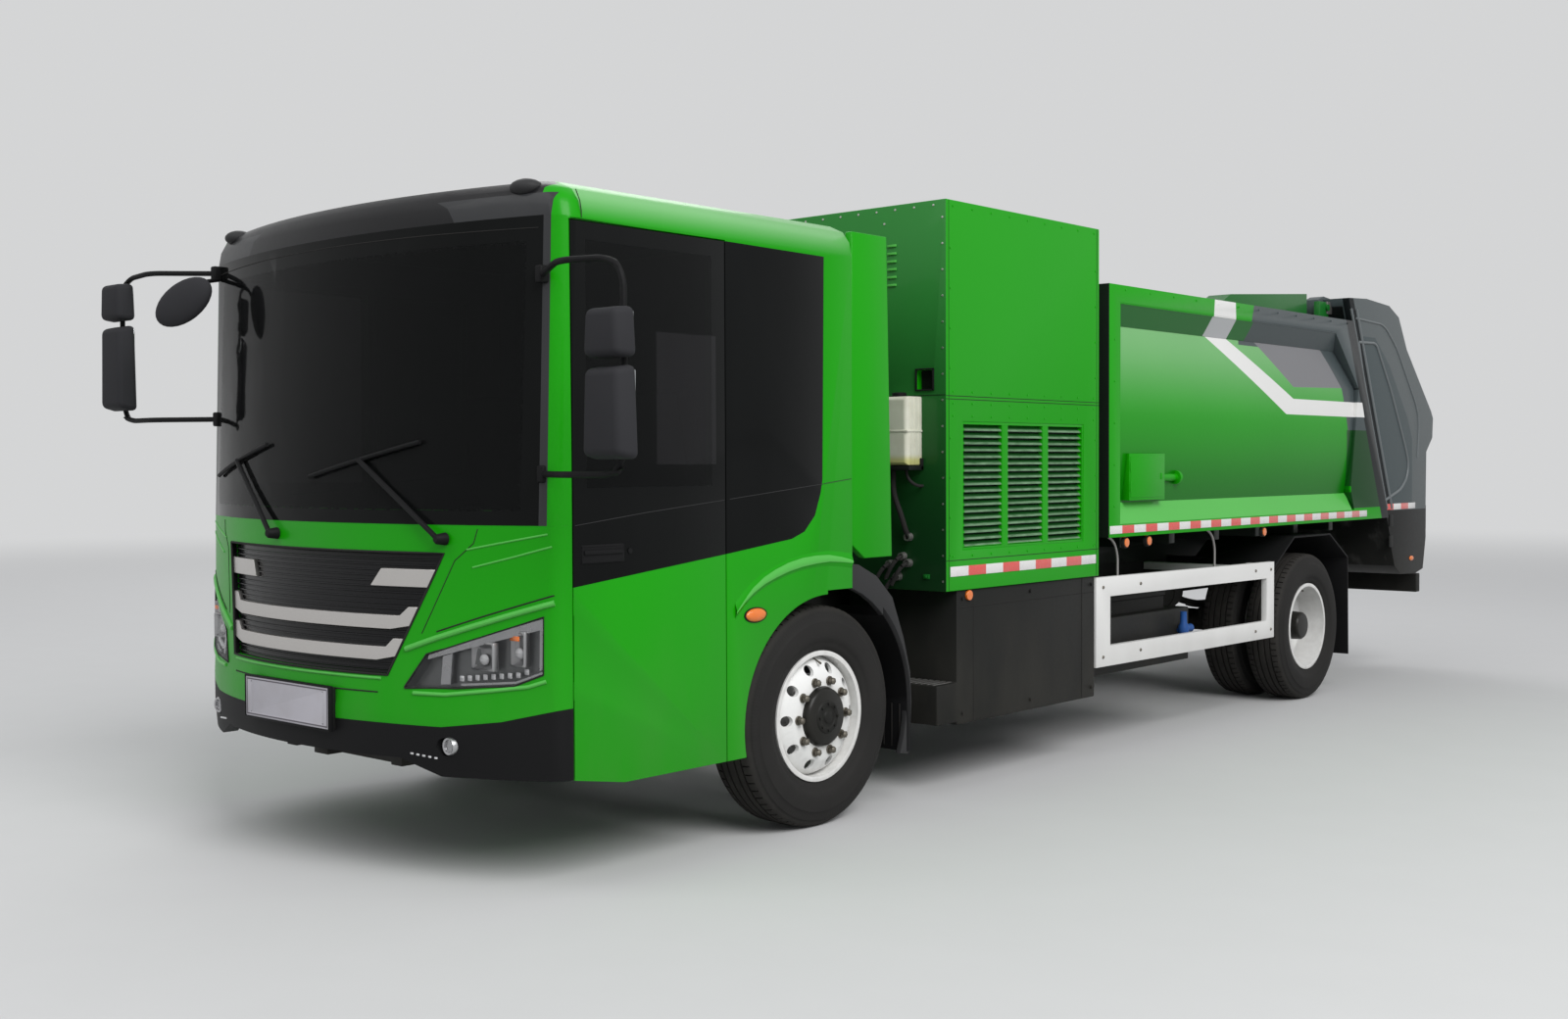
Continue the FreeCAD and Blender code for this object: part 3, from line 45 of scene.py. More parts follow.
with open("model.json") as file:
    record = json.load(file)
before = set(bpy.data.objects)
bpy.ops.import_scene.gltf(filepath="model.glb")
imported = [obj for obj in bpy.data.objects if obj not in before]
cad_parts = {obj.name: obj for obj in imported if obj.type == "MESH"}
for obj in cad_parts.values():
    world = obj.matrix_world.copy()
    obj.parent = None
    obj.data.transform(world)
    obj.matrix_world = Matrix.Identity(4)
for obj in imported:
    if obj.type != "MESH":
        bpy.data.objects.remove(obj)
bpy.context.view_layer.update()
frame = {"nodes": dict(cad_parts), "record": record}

# Places that the frame gives, in metres
FRONT_AXLE_Y = sum(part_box("front_axle"), Vector()).y / 2
REAR_AXLE_Y = sum(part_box("tyres_rear_left"), Vector()).y / 2
AXLE_Z = sum(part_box("tyre_front_left"), Vector()).z / 2
FRONT_WHEEL_X = sum(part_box("tyre_front_left"), Vector()).x / 2
TYRE_RADIUS = (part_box("tyre_front_left")[1].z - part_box("tyre_front_left")[0].z) / 2
TYRE_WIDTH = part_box("tyre_front_left")[1].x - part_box("tyre_front_left")[0].x
TWIN_INNER_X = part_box("tyres_rear_left")[0].x + TYRE_WIDTH / 2
PLATE_LOW, PLATE_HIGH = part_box("number_plate")


def search_tree(node):
    """The faces of a construction node, for finding points on it."""
    source = frame["nodes"][node]
    return BVHTree.FromPolygons([vertex.co for vertex in source.data.vertices],
                                [tuple(face.vertices) for face in source.data.polygons])


NOSE = [search_tree(node) for node in ("front_panel", "cab_shell", "cab_glass", "bumper", "front_lamps", "grille")]


def at(x, y, z):
    """A point from millimetres: x from the middle, y from the front axle, z from the road."""
    return Vector((x / 1000, FRONT_AXLE_Y + y / 1000, z / 1000))


AXES = {"X": Vector((1, 0, 0)), "Y": Vector((0, 1, 0)), "Z": Vector((0, 0, 1))}

# Small sizes in metres; the tyre's half section is (offset, drop), then (offset, radius)

GROOVE = "groove"
TREAD_HALF = [(0.0, 0.0), (0.018, 0.0), (0.020, GROOVE), (0.027, GROOVE), (0.029, 0.0003), (0.057, 0.0008),
              (0.059, GROOVE), (0.066, GROOVE), (0.068, 0.0012), (0.096, 0.004)]
SIDEWALL_HALF = [(0.104, 0.503), (0.110, 0.499), (0.116, 0.489), (0.119, 0.480), (0.1235, 0.477), (0.129, 0.458),
                 (0.1325, 0.440), (0.1355, 0.437), (0.1362, 0.425), (0.1368, 0.400), (0.1350, 0.372),
                 (0.1305, 0.350), (0.1262, 0.346), (0.1215, 0.330), (0.1150, 0.315), (0.1100, 0.311),
                 (0.1060, 0.304), (0.1004, 0.300), (0.1004, 0.2935)]
SHOULDER_FROM = 0.0685
SHOULDER_TO = 0.1045
SIPE_SHARE = 0.18
NUT_RADIUS = 0.0165
VALVE_REACH = 0.278
BELT_RADIUS = 0.0016
LAMP_DEPTH = 0.052

# Places in millimetres: x from the middle, y from the front axle, z from the road

SIDE = 1275
TAIL_SIDE = 1250
SKIRT_SIDE = 1262
BELT_SIDE = 1275.5
# The bowed nose: height, then y at the middle and at the sides
NOSE_LEVELS = [(402, -1975, -1590), (560, -1998, -1600), (700, -2000, -1600), (840, -1978, -1600),
               (1330, -1902, -1600), (1440, -1890, -1600), (2640, -1768, -1575), (2700, -1762, -1570)]
# The line over the front wheel arch as (y, z), and the sections of its swage and crest
ARCH_LINE = [(-622, 1040), (-570, 1086), (-516, 1124), (-445, 1160), (-369, 1186), (-280, 1210), (-188, 1226),
             (-90, 1235), (0, 1238), (90, 1230), (172, 1219)]
SWAGE_SECTION = [(1274, -30), (1281, -16), (1285, -4), (1285, 6), (1280, 22), (1274, 38)]
CREST_SECTION = [(0.5, -9), (3.5, 2), (2, 16), (-3, 30)]
# Lines on the nose: (x, z) corners, points to each stretch, and radius in metres
NOSE_CREASES = [
    ([(896, 1344), (1060, 1376), (1225, 1408)], 5, 0.004),
    ([(926, 1275), (1100, 1320), (1240, 1360)], 5, 0.004),
    ([(652, 946), (774, 990), (921, 1039), (1104, 1098), (1248, 1143)], 4, 0.012),
    ([(704, 776), (842, 776), (1024, 798), (1159, 817), (1222, 840)], 4, 0.008),
    ([(0, 825), (545, 825)], 8, 0.006),
]
NOSE_JOINTS = [
    ([(940, 1425), (925, 1370), (880, 1330), (845, 1300), (720, 1010)], 4, 0.002),
    ([(534, 770), (0, 770)], 10, 0.003),
    ([(787, 1020), (967, 1081), (1191, 1154), (1247, 1172)], 4, 0.003),
    ([(1168, 2592), (600, 2600), (0, 2603)], 8, 0.002),
]
# The headlamp's lower and upper outline, and its bowls: name, ends in x and in z, and depth in metres
LAMP_LOW = [(664, 793), (897, 803), (1110, 819), (1212, 864)]
LAMP_HIGH = [(664, 800), (750, 930), (1212, 1089)]
REFLECTORS = (("low_beam", 902, 1040, 872, 985, 0.032), ("high_beam", 1062, 1150, 890, 1030, 0.030))
# The lower and upper corner of the grille's opening, as (x, z)
GRILLE_CORNERS = ((575, 840), (795, 1327))
# Mirrors: side, heights of the large and the small one, and heights of the tube's feet
MIRROR_X = 1790
MIRROR_Y = -1820
MIRROR_SETS = ((1, 1690, 2030, 2050, 2235, 1640, 2410), (-1, 1945, 2375, 2392, 2580, 1900, 2600))
# The ends of the reflective strips
CABINET_STRIP = (958, 2366)
BODY_STRIP = (2523, 6265)
TAIL_STRIP = (6700, 7300)
# Ports as (x, z), and hoses: points, then radius and corner in metres
HOSE_PORTS = [(931, 1158), (1011, 1200), (1047, 1167), (980, 1096)]
TANK_HOSES = [
    ([(1000, 850, 1664), (1000, 850, 1520), (1040, 870, 1400), (1050, 900, 1300), (1050, 930, 1300)], 0.014, 0.05),
    ([(960, 830, 1664), (960, 830, 1560), (900, 850, 1450), (880, 890, 1330), (880, 930, 1330)], 0.010, 0.05),
    ([(1090, 840, 1664), (1092, 840, 1600), (1130, 870, 1560), (1130, 930, 1560)], 0.008, 0.03),
]
# The front flare's inner circle and its outer edge
ARCH_RADIUS = 607
ARCH_Z = 512
FLARE_EDGE = [(178, 1208), (237, 1201), (373, 1140), (495, 1031), (584, 829), (636, 660), (645, 512), (638, 380),
              (622, 257)]
# The tailgate's hinge, the slanted seam before it, and the outlines on its sides
TAIL_PIVOT = (5973, 2800)
SEAM_Y = 6693
SEAM_Z = 1241
SEAM_LEAN = 762 / 1605
TAIL_RECESS = [(6150, 2552), (6480, 2560), (6790, 2200), (7068, 1800), (7150, 1660), (7120, 1540), (6990, 1452),
               (6660, 1368), (6560, 1400), (6262, 2250)]
TAIL_SHOULDER = [(6100, 2725), (6640, 2708), (6900, 2540), (7330, 2090), (7372, 1980), (7340, 1700)]

# Convex fields of paint on the sides, as (y, z) corners

WHITE_STRIPE = [
    [(3792, 2484), (3818, 2720), (4103, 2720), (4119, 2470)],
    [(3792, 2484), (4119, 2470), (5044, 2105), (4919, 1997)],
    [(4919, 1997), (5044, 2105), (6170, 2105), (6215, 1997)],
]
GREY_FIELD = [[(4477, 2496), (5059, 2186), (5879, 2204), (5547, 2506)]]
GREY_POST = [
    [(5547, 2506), (5879, 2204), (6900, 2204), (6900, 2900), (5547, 2900)],
    [(5879, 2204), (5960, 1900), (6900, 1900), (6900, 2204)],
    [(4290, 2440), (4430, 2900), (6900, 2900), (6900, 2440)],
]
# Painted shade: the foot of the rear post is darkened to a deep green
POST_FOOT_SHADE = [[(5940, 1900), (5985, 1328), (7000, 1328), (7000, 1900)]]
# Outside this outline the tailgate's side is paler, as a painted highlight
TAIL_CORE = [[(5600, 1300), (5600, 2600), (6470, 2600), (6760, 2400), (7130, 2010), (7230, 1850), (7235, 1300)]]


class PaintSettings(bpy.types.PropertyGroup):
    green: FloatVectorProperty(name="Green", description="Colour of the cab, cabinet and body", subtype="COLOR",
                               size=3, default=(0.007, 0.305, 0.0005), min=0, max=1)
    dark_grey: FloatVectorProperty(name="Dark grey", description="Colour of the tailgate", subtype="COLOR",
                                   size=3, default=(0.062, 0.078, 0.082), min=0, max=1)
    black: FloatVectorProperty(name="Black", description="Colour of the chassis and skirts", subtype="COLOR",
                               size=3, default=(0.009, 0.0095, 0.009), min=0, max=1)
    white: FloatVectorProperty(name="White", description="Colour of the wheels and side guards", subtype="COLOR",
                               size=3, default=(0.76, 0.755, 0.74), min=0, max=1)
    bright: FloatVectorProperty(name="Bright trim", description="Colour of the grille bars", subtype="COLOR",
                                size=3, default=(0.56, 0.54, 0.52), min=0, max=1)
    strip_red: FloatVectorProperty(name="Strip red", description="Red fields of the reflective strips",
                                   subtype="COLOR", size=3, default=(0.68, 0.045, 0.035), min=0, max=1)
    dust: FloatProperty(name="Dust", description="How much road dust lies on the lower panels", default=0.16,
                        min=0, max=1, subtype="FACTOR")


class WheelSettings(bpy.types.PropertyGroup):
    groove_depth: FloatProperty(name="Groove depth", description="Depth of the tread's grooves", default=0.014,
                                min=0.004, max=0.02, unit="LENGTH")
    tread_pitches: IntProperty(name="Tread pitches", description="Tread blocks round each tyre", default=72,
                               min=30, max=120)
    nuts: IntProperty(name="Wheel nuts", description="Nuts on each wheel", default=10, min=5, max=12)
    nut_circle: FloatProperty(name="Nut circle", description="Diameter of the circle of nuts", default=0.335,
                              min=0.2, max=0.4, unit="LENGTH")


class StageSettings(bpy.types.PropertyGroup):
    floor_size: FloatProperty(name="Floor size", description="Side of the pale floor", default=160, min=20,
                              unit="LENGTH")
    lens: FloatProperty(name="Lens", description="Focal length of the camera in millimetres", default=37.583,
                        min=10)


# Tools for modelling, where a tuple is a place on the truck in millimetres and a vector is in metres

def placed(point):
    """The point in metres."""
    return point if isinstance(point, Vector) else at(*point)


def only(*objects):
    """Selects just these objects, with the last one active."""
    bpy.ops.object.select_all(action="DESELECT")
    for thing in objects:
        thing.select_set(True)
    bpy.context.view_layer.objects.active = objects[-1]


def start(kind, name, **settings):
    """A primitive to shape further, with its place already in its mesh."""
    bpy.ops.object.select_all(action="DESELECT")
    getattr(bpy.ops.mesh, "primitive_" + kind + "_add")(**settings)
    piece = bpy.context.object
    piece.name = name
    bpy.ops.object.transform_apply(location=True, rotation=True, scale=True)
    return piece


class Editing:
    """Edit mode on one piece, where faces and edges are picked by their place or direction."""

    def __init__(self, piece):
        self.piece = piece

    def __enter__(self):
        only(self.piece)
        bpy.ops.object.mode_set(mode="EDIT")
        bpy.ops.mesh.select_mode(type="FACE")
        return self

    def __exit__(self, *failure):
        bpy.ops.object.mode_set(mode="OBJECT")

    def everything(self, kind=None):
        """Picks the whole mesh, after a change to picking by VERT, EDGE or FACE where one is given."""
        if kind:
            bpy.ops.mesh.select_mode(type=kind)
        bpy.ops.mesh.select_all(action="SELECT")

    def faces(self, test):
        """Picks the faces whose middle and normal pass the test."""
        bpy.ops.mesh.select_mode(type="FACE")
        bpy.ops.mesh.select_all(action="DESELECT")
        mesh = bmesh.from_edit_mesh(self.piece.data)
        for face in mesh.faces:
            face.select_set(bool(test(face.calc_center_median(), face.normal)))
        bmesh.update_edit_mesh(self.piece.data)

    def inset(self, thickness, depth=0.0):
        bpy.ops.mesh.inset(thickness=thickness, depth=depth)

    def push(self, distance):
        """Extrudes the picked faces along their own direction."""
        bpy.ops.mesh.extrude_region_shrink_fatten(TRANSFORM_OT_shrink_fatten={"value": distance})

    def resize(self, scale, centre):
        bpy.ops.transform.resize(value=scale, center_override=centre)

    def tidy(self):
        """Joins doubled points and turns all faces outwards."""
        self.everything()
        bpy.ops.mesh.remove_doubles(threshold=1e-5)
        bpy.ops.mesh.normals_make_consistent(inside=False)


def modify(piece, kind, **settings):
    """Adds a modifier and applies it."""
    only(piece)
    bpy.ops.object.modifier_add(type=kind)
    modifier = piece.modifiers[-1]
    for key, value in settings.items():
        setattr(modifier, key, value)
    bpy.ops.object.modifier_apply(modifier=modifier.name)
    return piece


def set_at(piece, matrix):
    """Moves a piece by a matrix, and keeps its place in its mesh."""
    piece.matrix_world = matrix
    only(piece)
    bpy.ops.object.transform_apply(location=True, rotation=True, scale=True)


def rounded(piece, width, segments=2, angle=30):
    """Rounds the sharp edges of a piece."""
    return modify(piece, "BEVEL", width=width, segments=segments, limit_method="ANGLE",
                  angle_limit=math.radians(angle), use_clamp_overlap=True)


def bar(name, low, high, width=0.003, segments=2):
    """A box between two corners, with rounded edges."""
    low, high = placed(low), placed(high)
    piece = start("cube", name, size=1, location=(low + high) / 2, scale=[abs(size) for size in high - low])
    return rounded(piece, width, segments) if width else piece


def block_at(name, middle, half, width):
    """A box about its middle, from half its sizes in metres."""
    return bar(name, middle - Vector(half), middle + Vector(half), width)


def bulge(name, middle, radii, segments=24):
    """An ellipsoid with the given radii in metres."""
    return start("uv_sphere", name, segments=segments, ring_count=segments // 2, radius=1, location=placed(middle),
                 scale=radii)


def line(name, points):
    """A row of edges through the points, drawn by extruding one point."""
    points = [placed(point) for point in points]
    piece = start("plane", name, size=0.002, location=points[0])
    with Editing(piece) as edit:
        edit.everything("VERT")
        bpy.ops.mesh.merge(type="CENTER")
        for here, there in zip(points, points[1:]):
            bpy.ops.mesh.extrude_vertices_move(TRANSFORM_OT_translate={"value": there - here})
    return piece


def plate(name, points, depth, width=0.002, segments=2):
    """A flat plate with the outline of the points, extruded by a step in metres."""
    piece = line(name, points)
    with Editing(piece) as edit:
        edit.everything("VERT")
        bpy.ops.mesh.edge_face_add()
        edit.everything("FACE")
        bpy.ops.mesh.extrude_region_move(TRANSFORM_OT_translate={"value": depth})
        edit.tidy()
    return rounded(piece, width, segments) if width else piece


def lathe(name, profile, centre, axis="X", steps=48):
    """A piece turned round an axis, from points of (offset along the axis, radius) in metres."""
    along = AXES[axis]
    across = AXES["X"] if axis == "Z" else AXES["Z"]
    centre = placed(centre)
    points = [centre + along * offset + across * radius for offset, radius in profile]
    piece = line(name, points + points[:1])
    with Editing(piece) as edit:
        edit.everything()
        bpy.ops.mesh.spin(steps=steps, angle=2 * math.pi, center=centre, axis=along)
        edit.tidy()
    return piece


def pipe(name, points, radius, corner=0.0, segments=5):
    """A round pipe through the points, with its corners rounded by the given length in metres."""
    piece = line(name, points)
    if corner:
        with Editing(piece) as edit:
            edit.everything("VERT")
            bpy.ops.mesh.bevel(offset=corner, segments=segments, affect="VERTICES")
    only(piece)
    bpy.ops.object.convert(target="CURVE")
    curve = bpy.context.object
    curve.data.bevel_depth = radius
    curve.data.bevel_resolution = 3
    curve.data.use_fill_caps = True
    bpy.ops.object.convert(target="MESH")
    made = bpy.context.object
    made.name = name
    return made


def copied(piece, name=None, matrix=None):
    """A copy of a piece with its own mesh, moved by a matrix."""
    twin = piece.copy()
    twin.data = piece.data.copy()
    twin.name = name or piece.name
    bpy.context.scene.collection.objects.link(twin)
    if matrix is not None:
        set_at(twin, matrix)
    return twin


def joined(name, pieces):
    """Several pieces made into one."""
    only(*pieces)
    bpy.ops.object.join()
    piece = bpy.context.object
    piece.name = name
    return piece


def repeated(piece, steps):
    """One piece with a copy at each (x, y, z) step in millimetres from where it stands, all joined."""
    name = piece.name
    copies = [copied(piece) for _ in steps]
    for twin, step in zip(copies, steps):
        twin.location = Vector(step) / 1000
    only(*copies)
    bpy.ops.object.transform_apply(location=True, rotation=False, scale=False)
    bpy.data.objects.remove(piece)
    return joined(name, copies)


def around(piece, count, centre, axis="X", turn=0.0):
    """Copies of a piece round an axis, all joined."""
    name = piece.name
    centre = placed(centre)
    copies = []
    for index in range(count):
        angle = turn + 2 * math.pi * index / count
        spin = Matrix.Translation(centre) @ Matrix.Rotation(angle, 4, axis) @ Matrix.Translation(-centre)
        copies.append(copied(piece, matrix=spin))
    bpy.data.objects.remove(piece)
    return joined(name, copies)


def both_sides(piece):
    """Adds the mirror image on the truck's other side."""
    return modify(piece, "MIRROR", use_axis=(True, False, False), use_mirror_merge=False)


def other_side(piece, name):
    """A mirrored copy of its own on the truck's other side."""
    twin = copied(piece, name, Matrix.Scale(-1, 4, AXES["X"]))
    with Editing(twin) as edit:
        edit.everything()
        bpy.ops.mesh.normals_make_consistent(inside=False)
    return twin


NODE_SLOT = {entry["node"]: entry["material_slot"] for entry in frame["record"]["subparts"]}
NODE_BODY = {node: body for body, nodes in frame["record"]["behaviour"]["bodies"].items() for node in nodes}


# The slots that the finishes of new pieces belong to
SLOTS = {finish_name: slot for slot, names in (
    ("green_paint", "green light_green deep_green body fold"),
    ("grey_paint", "tail_edge blue bare_steel"),
    ("black_paint", "black core"),
    ("black_plastic", "plastic soft_plastic grey_plastic gloss_black rubber lamp_shell"),
    ("white_plastic", "tank"),
    ("bright_trim", "bright nut mirror lamp_chrome lamp_bowl lamp_glow"),
    ("lamp_lens", "clear_lens"),
    ("amber_lens", "amber_lens"),
    ("red_lens", "cabinet_strip body_strip tail_strip"),
    ("tyre_rubber", "front_tyre rear_tyre"),
    ("fabric", "cloth"),
) for finish_name in names.split()}


def finish(piece, finish_name, body, replaces=(), angle=35, slot=None):
    """Gives a piece its finish and its place in the frame."""
    slot = slot or SLOTS[finish_name]
    only(piece)
    bpy.ops.object.shade_smooth_by_angle(angle=math.radians(angle))
    piece.data.materials.clear()
    piece.data.materials.append(MATERIALS[finish_name])
    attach(piece, body)
    if replaces:
        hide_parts(*replaces)
    return piece


def finish_pair(piece, finish_name, body, replaces=(), angle=35):
    """Finishes a piece of the truck's left, and its mirror image on the body of the same name on the right."""
    twin = other_side(piece, piece.name.replace("left", "right"))
    finish(piece, finish_name, body, replaces, angle)
    right_nodes = [node.replace("left", "right") for node in replaces]
    finish(twin, finish_name, body.replace("left", "right"), right_nodes, angle)


def in_the_middle(name, pieces, finish_name, body, replaces=(), slot=None):
    """Joins pieces that stand where they were made, and finishes them."""
    return finish(joined(name, pieces), finish_name, body, replaces, slot=slot)


def on_both_sides(name, pieces, finish_name, body):
    """Joins pieces of the truck's left with their mirror images, and finishes them as one."""
    return finish(both_sides(joined(name, pieces)), finish_name, body)


def dressed(node, name, finish_name, width=0.002, angle=35, segments=2):
    """Takes over a construction node: its triangles become clean faces and its edges are rounded."""
    source = frame["nodes"][node]
    piece = bpy.data.objects.new(name, source.data.copy())
    bpy.context.scene.collection.objects.link(piece)
    with Editing(piece) as edit:
        edit.everything()
        bpy.ops.mesh.remove_doubles(threshold=2e-5)
        bpy.ops.mesh.dissolve_limited(angle_limit=math.radians(0.4))
    if width:
        rounded(piece, width, segments, angle)
    modify(piece, "WEIGHTED_NORMAL", keep_sharp=True)
    return finish(piece, finish_name, NODE_BODY[node], (node,), angle, NODE_SLOT[node])


# Tools for shader maths

class Value:
    """A shader socket that takes part in Python expressions."""

    def __init__(self, shader, socket):
        self.shader = shader
        self.socket = socket

    def math(self, operation, *others, clamp=False):
        values = dict(enumerate((self,) + others))
        return self.shader.node("ShaderNodeMath", {"operation": operation, "use_clamp": clamp}, values)

    def __add__(self, other):
        return self.math("ADD", other)

    __radd__ = __add__

    def __sub__(self, other):
        return self.math("SUBTRACT", other)

    def __rsub__(self, other):
        return self.shader.node("ShaderNodeMath", {"operation": "SUBTRACT"}, {0: other, 1: self})

    def __mul__(self, other):
        return self.math("MULTIPLY", other)

    __rmul__ = __mul__

    def __truediv__(self, other):
        return self.math("DIVIDE", other)

    def __rtruediv__(self, other):
        return self.shader.node("ShaderNodeMath", {"operation": "DIVIDE"}, {0: other, 1: self})

    def __mod__(self, other):
        return self.math("FLOORED_MODULO", other)

    def __abs__(self):
        return self.math("ABSOLUTE")

    def __gt__(self, other):
        return self.math("GREATER_THAN", other)

    def __lt__(self, other):
        return self.math("LESS_THAN", other)

    def root(self):
        return self.math("SQRT")

    def clamp(self):
        return self.math("ADD", 0.0, clamp=True)

    def wave(self):
        return self.math("SINE")

    def between(self, low, high):
        """1 between the two values and 0 outside them."""
        return (self > low) * (self < high)

    def rise(self, low, high):
        """Grows smoothly from 0 at low to 1 at high."""
        return self.shader.node("ShaderNodeMapRange", {"interpolation_type": "SMOOTHSTEP"},
                                {"Value": self, "From Min": low, "From Max": high})


class Shader:
    """One procedural material under construction."""

    def __init__(self, name):
        self.material = bpy.data.materials.new(name)
        self.material.use_nodes = True
        self.tree = self.material.node_tree
        self.tree.nodes.clear()

    def node(self, kind, settings=None, inputs=None, out=0):
        """Adds a node with its settings and inputs, and gives its output."""
        made = self.tree.nodes.new(kind)
        for key, value in (settings or {}).items():
            setattr(made, key, value)
        for key, value in (inputs or {}).items():
            self.feed(made.inputs[key], value)
        return Value(self, made.outputs[out]) if len(made.outputs) else None

    def feed(self, socket, value):
        """Links a value to a socket, or sets the socket to a number or colour."""
        if isinstance(value, Value):
            self.tree.links.new(value.socket, socket)
        elif socket.type == "RGBA":
            socket.default_value = tuple(value)[:3] + (1.0,)
        else:
            socket.default_value = value

    def place(self):
        """The three numbers of the Object coordinates."""
        spot = self.node("ShaderNodeTexCoord", out="Object")
        return [self.node("ShaderNodeSeparateXYZ", inputs={0: spot}, out=index) for index in range(3)]

    def noise(self, scale, detail=3.0, stretch=None):
        """Soft noise from 0 to 1, stretched along the axes where asked for."""
        spot = self.node("ShaderNodeTexCoord", out="Object")
        if stretch:
            spot = self.node("ShaderNodeMapping", inputs={"Vector": spot, "Scale": stretch})
        return self.node("ShaderNodeTexNoise", inputs={"Vector": spot, "Scale": scale, "Detail": detail})

    def cells(self, scale, feature="F1"):
        """The distance in a pattern of cells."""
        spot = self.node("ShaderNodeTexCoord", out="Object")
        return self.node("ShaderNodeTexVoronoi", {"feature": feature}, {"Vector": spot, "Scale": scale}, "Distance")

    def mix(self, factor, first, second):
        """A colour between two colours."""
        return self.node("ShaderNodeMix", {"data_type": "RGBA"}, {0: factor, 6: first, 7: second}, 2)

    def shade(self, colour, factor):
        """A colour made lighter or darker by a number."""
        return self.node("ShaderNodeVectorMath", {"operation": "SCALE"}, {0: colour, "Scale": factor})

    def bump(self, height, strength, distance):
        """Normals that follow a height."""
        inputs = {"Height": height, "Strength": strength, "Distance": distance}
        return self.node("ShaderNodeBump", inputs=inputs)

    def surface(self, **inputs):
        """The material's surface, with its sockets named in plain keyword form."""
        named = {key.replace("_", " ").title(): value for key, value in inputs.items()}
        for short, full in (("Ior", "IOR"), ("Specular", "Specular IOR Level")):
            if short in named:
                named[full] = named.pop(short)
        surface = self.node("ShaderNodeBsdfPrincipled", inputs=named)
        self.node("ShaderNodeOutputMaterial", inputs={"Surface": surface})
        return self.material

    def seam_gap(self, y, z):
        """How far a point lies behind the slanted seam between the body and the tailgate."""
        return y - FRONT_AXLE_Y + (z - SEAM_Z / 1000) * SEAM_LEAN - SEAM_Y / 1000

    def inside(self, y, z, outlines):
        """1 inside any of the convex outlines of (y, z) corners."""
        masks = []
        for outline in outlines:
            corners = [(FRONT_AXLE_Y + along / 1000, up / 1000) for along, up in outline]
            area = sum(y0 * z1 - y1 * z0 for (y0, z0), (y1, z1) in zip(corners, corners[1:] + corners[:1]))
            if area > 0:
                corners.reverse()
            mask = 1
            for (y0, z0), (y1, z1) in zip(corners, corners[1:] + corners[:1]):
                mask = mask * (((y - y0) * (z1 - z0) - (z - z0) * (y1 - y0)) > 0)
            masks.append(mask)
        union = masks[0]
        for mask in masks[1:]:
            union = union.math("MAXIMUM", mask)
        return union


# Finishes

# Painted shade: near-black for a band on each side of the slanted seam between the body and the tailgate, where the
# gap lies in shade
SEAM_PAINTED_SHADE = (0.007, 0.009, 0.010)


def settings():
    """The paint settings of the scene."""
    return bpy.context.scene.truck_paint


def paint_over(shader, colour, gloss=0.32, coat=0.1, dust=None, peel=0.012):
    """Enamel over the given colour: slight unevenness, an orange peel skin, and dust towards the road."""
    dust = settings().dust if dust is None else dust
    x, y, z = shader.place()
    uneven = shader.noise(0.9, 4)
    speckle = shader.noise(38, 3)
    colour = shader.shade(colour, 0.93 + 0.14 * uneven)
    low = 1 - z.rise(0.25, 1.25)
    runs = (shader.noise(5, 5, (1, 1, 0.35)) * 1.5 - 0.25).clamp()
    grime = low * runs * dust + speckle.rise(0.62, 0.8) * dust * 0.12
    dusty = shader.mix(grime.clamp(), colour, (0.21, 0.19, 0.155))
    rough = gloss + 0.08 * speckle + grime * 0.4
    skin = shader.bump(shader.noise(160, 2), peel, 0.001)
    return shader.surface(base_color=dusty, roughness=rough, normal=skin, coat_weight=(coat - grime).clamp(),
                          coat_roughness=0.08, specular=0.15)


def enamel(name, colour, **finish_values):
    """Enamel of one colour."""
    return paint_over(Shader(name), tuple(colour), **finish_values)


def body_enamel(name):
    """The refuse body's green with its white stripe and the dark grey fields towards the tailgate, and painted light
    and shade: a near-black band before the rear seam, deep green at the post's foot, side panels lighter above and
    darker below, and near-black under the body and on its front face.
    """
    shader = Shader(name)
    paint = settings()
    x, y, z = shader.place()
    side = abs(x) > 0.9
    white = shader.inside(y, z, WHITE_STRIPE)
    post = shader.inside(y, z, GREY_POST)
    foot = shader.inside(y, z, POST_FOOT_SHADE)
    colour = shader.mix(post * side, tuple(paint.green), tuple(paint.dark_grey))
    # Painted shade: deep green at the foot of the rear post
    colour = shader.mix(foot * side, colour, (0.010, 0.055, 0.014))
    # Painted shade: the band of the body's side just before the seam
    colour = shader.mix((shader.seam_gap(y, z) > -0.135) * side, colour, SEAM_PAINTED_SHADE)
    colour = shader.mix(white * side, colour, tuple(paint.white))
    # Painted light and shade: the side panels are lightened towards their top and darkened towards their bottom, as
    # light falls from above
    panel = abs(x).between(1.0, 1.262) * (y > FRONT_AXLE_Y + 2.63) * (z < 2.6) * (1 - white) * (1 - post)
    colour = shader.mix(panel * z.rise(1.9, 2.5) * 0.34, colour, (0.52, 0.72, 0.50))
    colour = shader.mix(panel * (1 - z.rise(1.35, 2.1)) * 0.75, colour, (0.0, 0.085, 0.002))
    colour = shader.mix(shader.inside(y, z, GREY_FIELD) * side, colour, (0.19, 0.19, 0.20))
    # Painted shade: near-black below the body's lower edge and on its front face behind the cabinet
    shade_under_and_front = (z < 1.2385).math("MAXIMUM", y < FRONT_AXLE_Y + 2.5145)
    return paint_over(shader, shader.mix(shade_under_and_front, colour, (0.008, 0.012, 0.009)))


